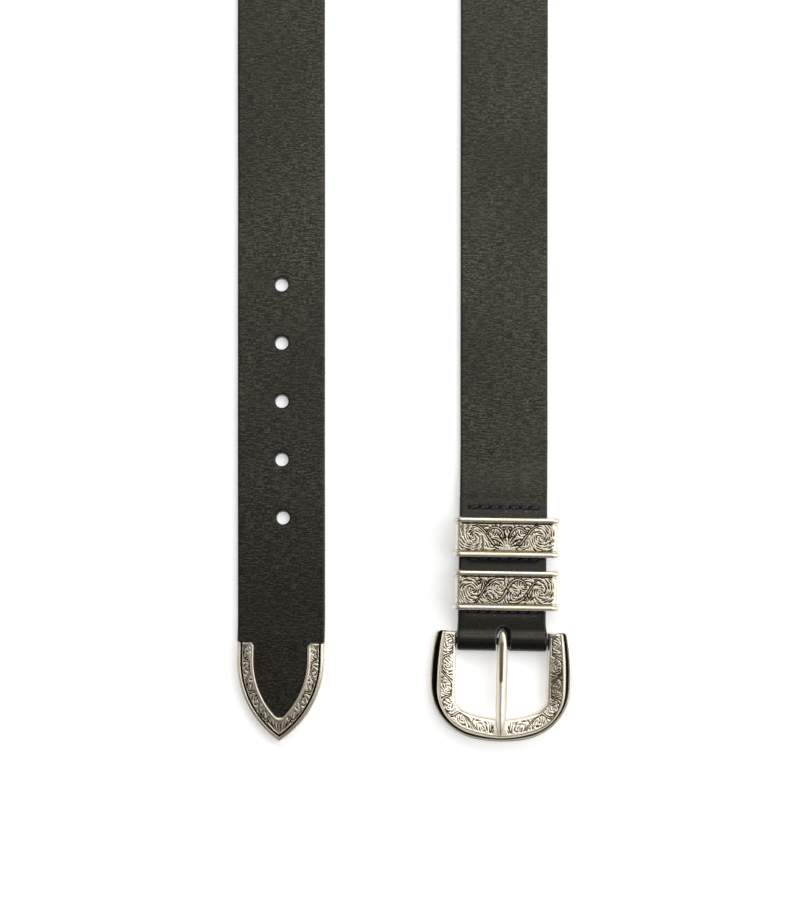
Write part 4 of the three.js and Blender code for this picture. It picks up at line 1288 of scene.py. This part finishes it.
# Inset from the outer edge, height, spacing of the points, part
tipSection = [
    (0.5, 0.0, 0.5, "outer"),
    (0.0, 0.5, 0.5, "outer"),
    (0.0, 3.2, 0.2, "rim"),
    (0.18, 3.85, 0.16, "rim"),
    (0.55, 4.2, 0.16, "rim"),
    (0.8, 4.12, 0.13, "rim"),
    (0.95, 4.22, 0.13, "rim"),
    (1.45, 4.45, 0.13, "rim"),
    (1.75, 4.2, 0.13, "rim"),
    (1.85, 3.82, 0.13, "groove"),
    (2.55, 3.8, 0.13, "groove"),
    (2.65, 4.3, 0.13, "band"),
    (6.2, 4.42, 0.13, "border"),
    (6.3, 4.7, 0.13, "border"),
    (6.8, 4.8, 0.15, "border"),
    (7.3, 4.72, 0.15, "border"),
    (7.5, 4.4, 0.2, "border"),
    (7.5, 3.6, 0.3, "inside"),
    (7.35, 3.5, 1.1, "inside"),
    (0.9, 3.5, 0.9, "inside"),
    (0.9, 0.9, 1.1, "inside"),
    (5.3, 0.9, 0.25, "back"),
    (5.5, 0.7, 0.3, "back"),
    (5.5, 0.2, 0.25, "back"),
    (5.3, 0.0, 1.1, "back"),
]


# The right side of the tip at an inset, from the mouth (0) to the point (1)
def tipSide(inset, rounding, share):
    radius = tipSizes["arcRadius"] - inset
    straight = tipSizes["length"] - tipArcStart
    angle = acos(tipArcOffset / (radius - rounding))
    bottom = tipArcStart - (radius - rounding) * sin(angle)
    total = straight + radius * angle + rounding * (pi / 2 - angle)
    travelled = share * total
    onArc = np.clip((travelled - straight) / radius, 0, angle)
    past = np.clip(travelled - straight - radius * angle, 0, None)
    turn = angle + (past / rounding if rounding > 0 else 0 * past)
    x = -tipArcOffset + radius * np.cos(onArc)
    y = np.where(travelled < straight, tipSizes["length"] - travelled, tipArcStart - radius * np.sin(onArc))
    x = np.where(past > 0, rounding * np.cos(turn), x)
    y = np.where(past > 0, bottom - rounding * np.sin(turn), y)
    return x, y


def makeTip():
    sizes = tipSizes
    section, parts = sectionOutline(tipSection, 0.05)
    inset, height = section[:, 0], section[:, 1]
    middle = sizes["middleInset"]
    radius = sizes["arcRadius"] - middle
    length = sizes["length"] - tipArcStart + radius * acos(tipArcOffset / radius)
    u = stepped(0, [(0.3, 0.06), (length - 0.3, sizes["rowStep"]), (length, 0.1)])
    share = u / length
    front = np.isin(parts, ("band", "border")) | ((parts == "inside") & (inset > 7))
    band = np.flatnonzero(parts == "band")
    band = np.append(band, band[-1] + 1)
    v = inset[band]
    field = farField(u, v)
    drawBand(field, u, v, 1.0, length - 6.6, v[0] + 0.1, v[-1] - 0.1,
             pitch=7.2, seed=17, bold=1.12, ringPitch=1.28)
    u2, v2 = np.meshgrid(u, v, indexing="ij")
    np.maximum(field, u2 - (length - 6.4) - 0.5 * (v2 - v[0]), out=field)
    for line in range(4):    # long leaves that fan out from the point
        root, head = 0.45 + 0.85 * line, 0.8 + 2.1 * line
        drawCut(field, u, v, bezier(
            (length - head, v[-1] - 0.25 - 0.55 * line), (length - head + 0.2, v[-1] - 1.3 - 0.4 * line),
            (length - root - 0.5, v[0] + 1.2), (length - root, v[0] + 0.35)), 0.36 - 0.03 * line, 0.6)
    bare = np.maximum(np.maximum(v[0] + 0.22 - v, v - v[-1] + 0.15)[None, :], (1.0 - u)[:, None])
    field = np.maximum(field, bare)
    field = softened(np.minimum(field, (length - u)[:, None] * 1.5 - 0.12))
    tone = np.ones((len(u), len(inset))) * toneOf(parts)[None, :]
    tone[:, band] = toneOfCuts(field)

    places = np.empty((len(u), len(inset), 3))
    fromMouth = sizes["length"] - tipSide(middle, 0, share)[1]
    cornerIn = edgeDrop(fromMouth, sizes["armCorner"])
    for k in range(len(inset)):
        reach = inset[k]
        rounding = sizes["windowPointRadius"] * float(smoothStep((reach - 3.6) / (7.2 - 3.6)))
        if parts[k] == "back" or (parts[k] == "inside" and height[k] < 1):
            rounding = sizes["windowPointRadius"] * float(smoothStep((reach - 1.5) / 4))
        x, y = tipSide(reach, rounding, share)
        if front[k]:
            x = x + cornerIn * (reach - 2.6) / (sizes["armWidth"] - 2.6)
        places[:, k, 0] = x
        places[:, k, 1] = y
        places[:, k, 2] = height[k]
    endBorder = smoothStep((1.05 - u) / 0.15)[:, None]
    places[:, band, 2] += sizes["relief"] * np.maximum(reliefOf(field) - 1 + 0.2, endBorder)
    places[..., 2] -= edgeDrop(u, 0.3)[:, None] * (height > 3.7)[None, :]
    left = places[::-1] * [-1, 1, 1]
    places = np.concatenate([places, left[1:]])
    tone = np.concatenate([tone, tone[-2::-1]])
    return wrapGrid("tip_casting", laidAt(places, tipOrigin, tipLean), tone)


tip = makeTip()
print("tip:", len(tip.data.polygons), "faces")


# Materials

def newMaterial(name):
    made = bpy.data.materials.new(name)
    made.use_nodes = True
    tree = made.node_tree
    return made, tree, tree.nodes["Principled BSDF"]


def addNode(tree, kind, **inputs):
    settings = inputs.pop("settings", {})
    node = tree.nodes.new(kind)
    for key, value in settings.items():
        setattr(node, key, value)
    for key, value in inputs.items():
        socket = node.inputs[int(key[1:])] if key[0] == "i" and key[1:].isdigit() else node.inputs[key]
        if isinstance(value, bpy.types.NodeSocket):
            tree.links.new(value, socket)
        else:
            socket.default_value = value
    return node


def mathNode(tree, operation, first, second=0.0, clamp=False):
    settings = {"operation": operation, "use_clamp": clamp}
    return addNode(tree, "ShaderNodeMath", settings=settings, i0=first, i1=second).outputs[0]


def times(tree, first, second):
    return mathNode(tree, "MULTIPLY", first, second)


def plus(tree, first, second, clamp=False):
    return mathNode(tree, "ADD", first, second, clamp)


def largest(tree, first, *others):
    for other in others:
        first = mathNode(tree, "MAXIMUM", first, other)
    return first


def storedValue(tree, name, output="Fac"):
    return addNode(tree, "ShaderNodeAttribute", settings={"attribute_name": name}).outputs[output]


def noiseNode(tree, vector, scale, detail=3.0, roughness=0.55):
    inputs = {"Vector": vector, "Scale": scale, "Detail": detail, "Roughness": roughness}
    return addNode(tree, "ShaderNodeTexNoise", **inputs).outputs["Fac"]


def rampNode(tree, value, stops):
    node = addNode(tree, "ShaderNodeValToRGB", Fac=value)
    ramp = node.color_ramp
    while len(ramp.elements) < len(stops):
        ramp.elements.new(0.5)
    for element, (place, colour) in zip(ramp.elements, stops):
        element.position = place
        element.color = (*colour, 1)
    return node.outputs["Color"]


def mixColours(tree, share, first, second):
    node = addNode(tree, "ShaderNodeMix", settings={"data_type": "RGBA"}, i0=share)
    for index, colour in ((6, first), (7, second)):
        if isinstance(colour, bpy.types.NodeSocket):
            tree.links.new(colour, node.inputs[index])
        else:
            node.inputs[index].default_value = (*colour, 1)
    return node.outputs[2]


def mapRange(tree, value, low, high, toLow=0.0, toHigh=1.0):
    node = addNode(tree, "ShaderNodeMapRange", settings={"interpolation_type": "SMOOTHSTEP"}, Value=value)
    for name, number in zip(("From Min", "From Max", "To Min", "To Max"), (low, high, toLow, toHigh)):
        node.inputs[name].default_value = number
    return node.outputs[0]


def addBump(tree, shader, strength, distance, height):
    bump = addNode(tree, "ShaderNodeBump", Strength=strength, Distance=distance, Height=height)
    tree.links.new(bump.outputs[0], shader.inputs["Normal"])


leatherLook = {
    "grainSide": (0.0235, 0.0218, 0.0168),
    "grainDark": (0.0018, 0.0019, 0.0020),
    "grainWorn": (0.1020, 0.0925, 0.0690),
    # painted shade towards the tip's end, with its grain; the near-black below serves broad mottling and
    # the painted shade near the buckle
    "tipEndShadeGrain": ((0.0010, 0.0011, 0.0012), (0.0056, 0.0056, 0.0052), (0.0320, 0.0305, 0.0260)),
    "darkMottleAndShade": (0.0036, 0.0036, 0.0034),
    "edge": (0.0035, 0.0044, 0.0068),
    "fleshSide": (0.052, 0.045, 0.037),
    "feedMark": (0.13, 0.12, 0.09),
    "slotRimHighlight": (0.15, 0.185, 0.20),
    "wax": (0.052, 0.048, 0.036),
    "sewn": (0.0008, 0.0008, 0.001),    # painted shade in the grooves of the stitch rows
    "sheen": (1.0, 0.93, 0.78),
    "shine": 0.32,
}


def makeLeather():
    look = leatherLook
    leather, tree, shader = newMaterial("waxed_black_leather")
    flat = storedValue(tree, "flat", "Vector")
    axes = addNode(tree, "ShaderNodeSeparateXYZ", Vector=flat)
    x, along, depth = axes.outputs[0], axes.outputs[1], axes.outputs[2]
    fromMiddle = mathNode(tree, "ABSOLUTE", x)
    stretched = addNode(tree, "ShaderNodeMapping", Vector=flat, Scale=(0.55, 1.22, 0)).outputs[0]
    streaked = addNode(tree, "ShaderNodeMapping", Vector=flat, Scale=(0.2, 1.12, 0)).outputs[0]

    # short creases across the strap, broad clouds of wax and wear
    fine = times(tree, noiseNode(tree, stretched, 1500, 2.0, 0.5), 0.58)
    creases = plus(tree, fine, times(tree, noiseNode(tree, streaked, 1300, 1.0), 0.42))
    pores = noiseNode(tree, stretched, 3600, 2.0, 0.6)
    clouds = noiseNode(tree, stretched, 60, 4.0, 0.6)
    broad = noiseNode(tree, flat, 16, 2.0, 0.5)
    grain = (look["grainDark"], look["grainSide"], look["grainWorn"])
    tint = rampNode(tree, creases, list(zip((0.42, 0.5, 0.61), grain)))
    tint = mixColours(tree, mapRange(tree, clouds, 0.42, 0.68, 0.0, 0.32), tint, look["wax"])
    tint = mixColours(tree, mapRange(tree, broad, 0.35, 0.7, 0.0, 0.5), tint, look["darkMottleAndShade"])

    # painted shade: darker towards both ends
    tipEndShadeTint = rampNode(tree, creases, list(zip((0.42, 0.5, 0.6), look["tipEndShadeGrain"])))
    tint = mixColours(tree, mapRange(tree, along, -0.80, -0.96, 0.0, 0.72), tint, tipEndShadeTint)
    buckleEndShade = mapRange(tree, along, -0.098, -0.030, 0.0, 0.88)
    tint = mixColours(tree, buckleEndShade, tint, look["darkMottleAndShade"])

    # pale marks that the sewing foot left beside two of the rows of stitches
    pitch = stitchSizes["pitch"] * mm
    aside = (stitchSizes["aside"] + 0.75) * mm
    beside = mathNode(tree, "PINGPONG", plus(tree, x, 40 * pitch + aside), pitch / 2)
    rows = []
    for fromBar in (stitchRows["lower"], stitchRows["upper"]):
        away = plus(tree, along, (fromBar - 1.7) * mm)
        reach = plus(tree, times(tree, beside, beside), times(tree, away, away))
        rows.append(mapRange(tree, reach, (0.52 * mm) ** 2, (0.2 * mm) ** 2, 0.0, 0.85))
    span = mapRange(tree, fromMiddle, 0.0155, 0.0150)
    broken = mapRange(tree, noiseNode(tree, flat, 420, 2.0), 0.36, 0.56)
    marks = times(tree, times(tree, largest(tree, *rows), span), broken)
    tint = mixColours(tree, marks, tint, look["feedMark"])

    # painted shade: the leather is darkened in the grooves of the stitch rows
    rows = []
    for fromBar in stitchRows.values():
        away = mathNode(tree, "ABSOLUTE", plus(tree, along, fromBar * mm))
        rows.append(mapRange(tree, away, 1.15 * mm, 0.6 * mm))
    sewn = times(tree, largest(tree, *rows), mapRange(tree, fromMiddle, 16 * mm, 15.3 * mm))
    tint = mixColours(tree, sewn, tint, look["sewn"])

    # cut edges are dyed and burnished, the flesh side is napped
    outer = mapRange(tree, fromMiddle, 0.01835, 0.01875)
    wall = times(tree, mapRange(tree, depth, 0.02, 0.1), mapRange(tree, depth, 0.98, 0.9))
    # hole rims take the edge colour, partly as dyed edge and partly as painted shade
    edge = largest(tree, outer, wall, storedValue(tree, "holeRimDyeAndShade"))
    flesh = mapRange(tree, depth, 0.9, 0.99)
    nap = noiseNode(tree, flat, 700, 5.0, 0.7)
    napColour = mixColours(tree, nap, look["edge"], look["fleshSide"])
    tint = mixColours(tree, edge, tint, look["edge"])
    tint = mixColours(tree, flesh, tint, napColour)
    # painted highlight along the slot's cut edge
    tint = mixColours(tree, times(tree, storedValue(tree, "rim"), 0.8), tint, look["slotRimHighlight"])
    tree.links.new(tint, shader.inputs["Base Color"])

    gloss = mapRange(tree, clouds, 0.3, 0.75, 0.26, 0.34)
    gloss = plus(tree, gloss, mapRange(tree, creases, 0.38, 0.64, 0.08, -0.06))
    gloss = plus(tree, gloss, times(tree, buckleEndShade, -0.07))
    gloss = plus(tree, gloss, times(tree, sewn, 0.5))
    gloss = plus(tree, gloss, times(tree, flesh, 0.4), clamp=True)
    tree.links.new(gloss, shader.inputs["Roughness"])
    shader.inputs["Specular IOR Level"].default_value = look["shine"]
    shader.inputs["Specular Tint"].default_value = (*look["sheen"], 1)

    relief = plus(tree, times(tree, creases, 0.6), times(tree, pores, 0.5))
    relief = plus(tree, relief, times(tree, times(tree, nap, flesh), 3.0))
    relief = times(tree, relief, mapRange(tree, buckleEndShade, 0.0, 0.88, 1.0, 0.6))
    relief = plus(tree, relief, times(tree, marks, -1.5))
    addBump(tree, shader, 0.7, 0.0001, relief)
    return leather


metalLook = {
    "bright": (0.84, 0.785, 0.67),
    "warm": (0.76, 0.70, 0.565),
    "patina": (0.28, 0.22, 0.132),
    "hollow": (0.014, 0.0105, 0.007),
    "roughness": 0.35,
}


def makeMetal():
    look = metalLook
    metal, tree, shader = newMaterial("antiqued_nickel_silver")
    spot = addNode(tree, "ShaderNodeTexCoord").outputs["Object"]
    tone = storedValue(tree, "tone")
    clouds = noiseNode(tree, spot, 160, 4.0, 0.6)
    grain = noiseNode(tree, spot, 2400, 3.0, 0.6)
    bright = mixColours(tree, mapRange(tree, clouds, 0.35, 0.75, 0.0, 0.75), look["bright"], look["warm"])
    share = plus(tree, tone, times(tree, plus(tree, grain, -0.5), 0.08))
    stained = mixColours(tree, mapRange(tree, share, 0.05, 0.42), look["hollow"], look["patina"])
    colour = mixColours(tree, mapRange(tree, share, 0.35, 0.82), stained, bright)
    tree.links.new(colour, shader.inputs["Base Color"])
    shader.inputs["Metallic"].default_value = 1.0
    shine = mapRange(tree, clouds, 0.3, 0.75, look["roughness"] - 0.02, look["roughness"] + 0.05)
    rough = plus(tree, shine, mapRange(tree, share, 0.8, 0.0, 0.0, 0.32), clamp=True)
    tree.links.new(rough, shader.inputs["Roughness"])
    addBump(tree, shader, 0.1, 0.000012, grain)
    return metal


threadLook = {"dark": (0.010, 0.012, 0.028), "light": (0.048, 0.058, 0.115)}


def makeThread():
    thread, tree, shader = newMaterial("navy_waxed_thread")
    spot = addNode(tree, "ShaderNodeTexCoord").outputs["Object"]
    fibres = noiseNode(tree, spot, 3200, 3.0, 0.6)
    colour = mixColours(tree, fibres, threadLook["dark"], threadLook["light"])
    tree.links.new(colour, shader.inputs["Base Color"])
    shader.inputs["Roughness"].default_value = 0.5
    addBump(tree, shader, 0.4, 0.00005, fibres)
    return thread


leather, metal, thread = makeLeather(), makeMetal(), makeThread()


def dress(piece, material, body, nodes=()):
    piece.data.materials.clear()
    piece.data.materials.append(material)
    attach(piece, body)
    for node in nodes:
        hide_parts(node)


dress(strap, leather, "strap", ["strap"])
for row in stitchPieces:
    dress(row, thread, "strap")
for name, casting in keepers.items():
    dress(casting, metal, "strap", [name])
dress(tip, metal, "strap", ["tip"])
dress(buckle, metal, "buckle", ["buckle_frame"])
dress(prong, metal, "prong", ["prong"])
print("materials set")


# Floor, light and camera

studio = {
    "cameraHeight": 763,
    "cameraFromMiddle": 3.15,
    "cameraFromTipLine": 122.6,
    "viewWidth": 348.4,       # seen at the height of the strap's face
    "faceHeight": 3,
    "world": (0.094, 0.087, 0.073),
    "floorColour": 0.97,
    "floorGlow": 0.34,
    "glowColour": (0.97, 0.985, 1),
    "boxAim": (0, -0.1, 0),   # in metres
}
# Name, place and size in metres, and watts
softBoxes = [
    ("top_box", (0.045, 0.275, 1.5), (0.75, 1.04), 3.75),
    ("right_box", (1.0, 0.05, 1.15), (1.3, 1.2), 11),
    ("back_box", (0.15, 1.2, 1.2), (1.5, 0.75), 11.5),
    ("left_high_box", (-1.2, 0, 0.95), (1.2, 0.6), 0.9),
    ("left_box", (-1.4, -0.1, 0.36), (1.4, 0.6), 3.5),
    ("low_right_box", (1.45, -0.1, 0.4), (1.3, 0.6), 3.2),
    ("low_front_box", (0, -1.5, 0.45), (1.6, 0.6), 0.5),
]

bpy.ops.object.select_all(action="DESELECT")
bpy.ops.mesh.primitive_plane_add(size=8)
floor = bpy.context.object
floor.name = "floor"
floorMaterial, _, floorShader = newMaterial("pale_floor")
floorShader.inputs["Base Color"].default_value = (*[studio["floorColour"]] * 3, 1)
floorShader.inputs["Roughness"].default_value = 0.9
floorShader.inputs["Specular IOR Level"].default_value = 0.1
floorShader.inputs["Emission Color"].default_value = (*studio["glowColour"], 1)
floorShader.inputs["Emission Strength"].default_value = studio["floorGlow"]
floor.data.materials.append(floorMaterial)

cameraData = bpy.data.cameras.new("camera")
cameraData.sensor_fit = "HORIZONTAL"
cameraData.sensor_width = 36
cameraData.lens = 36 * (studio["cameraHeight"] - studio["faceHeight"]) / studio["viewWidth"]
cameraData.clip_start = 0.01
camera = bpy.data.objects.new("camera", cameraData)
camera.location = (
    (middleX + studio["cameraFromMiddle"]) * mm,
    (tipLineY + studio["cameraFromTipLine"]) * mm,
    studio["cameraHeight"] * mm,
)
bpy.context.scene.collection.objects.link(camera)
bpy.context.scene.camera = camera


# A soft box that faces the belt
def addSoftBox(name, place, size, watts):
    light = bpy.data.lights.new(name, "AREA")
    light.shape = "RECTANGLE"
    light.size, light.size_y = size
    light.energy = watts
    box = bpy.data.objects.new(name, light)
    box.location = place
    facing = Vector(studio["boxAim"]) - Vector(place)
    box.rotation_euler = facing.to_track_quat("-Z", "Y").to_euler()
    bpy.context.scene.collection.objects.link(box)


for softBox in softBoxes:
    addSoftBox(*softBox)

world = bpy.data.worlds.new("studio")
bpy.context.scene.world = world
world.use_nodes = True
background = world.node_tree.nodes["Background"]
background.inputs["Color"].default_value = (*studio["world"], 1)
background.inputs["Strength"].default_value = 1
bpy.context.scene.view_settings.view_transform = "Standard"
bpy.context.scene.view_settings.look = "None"
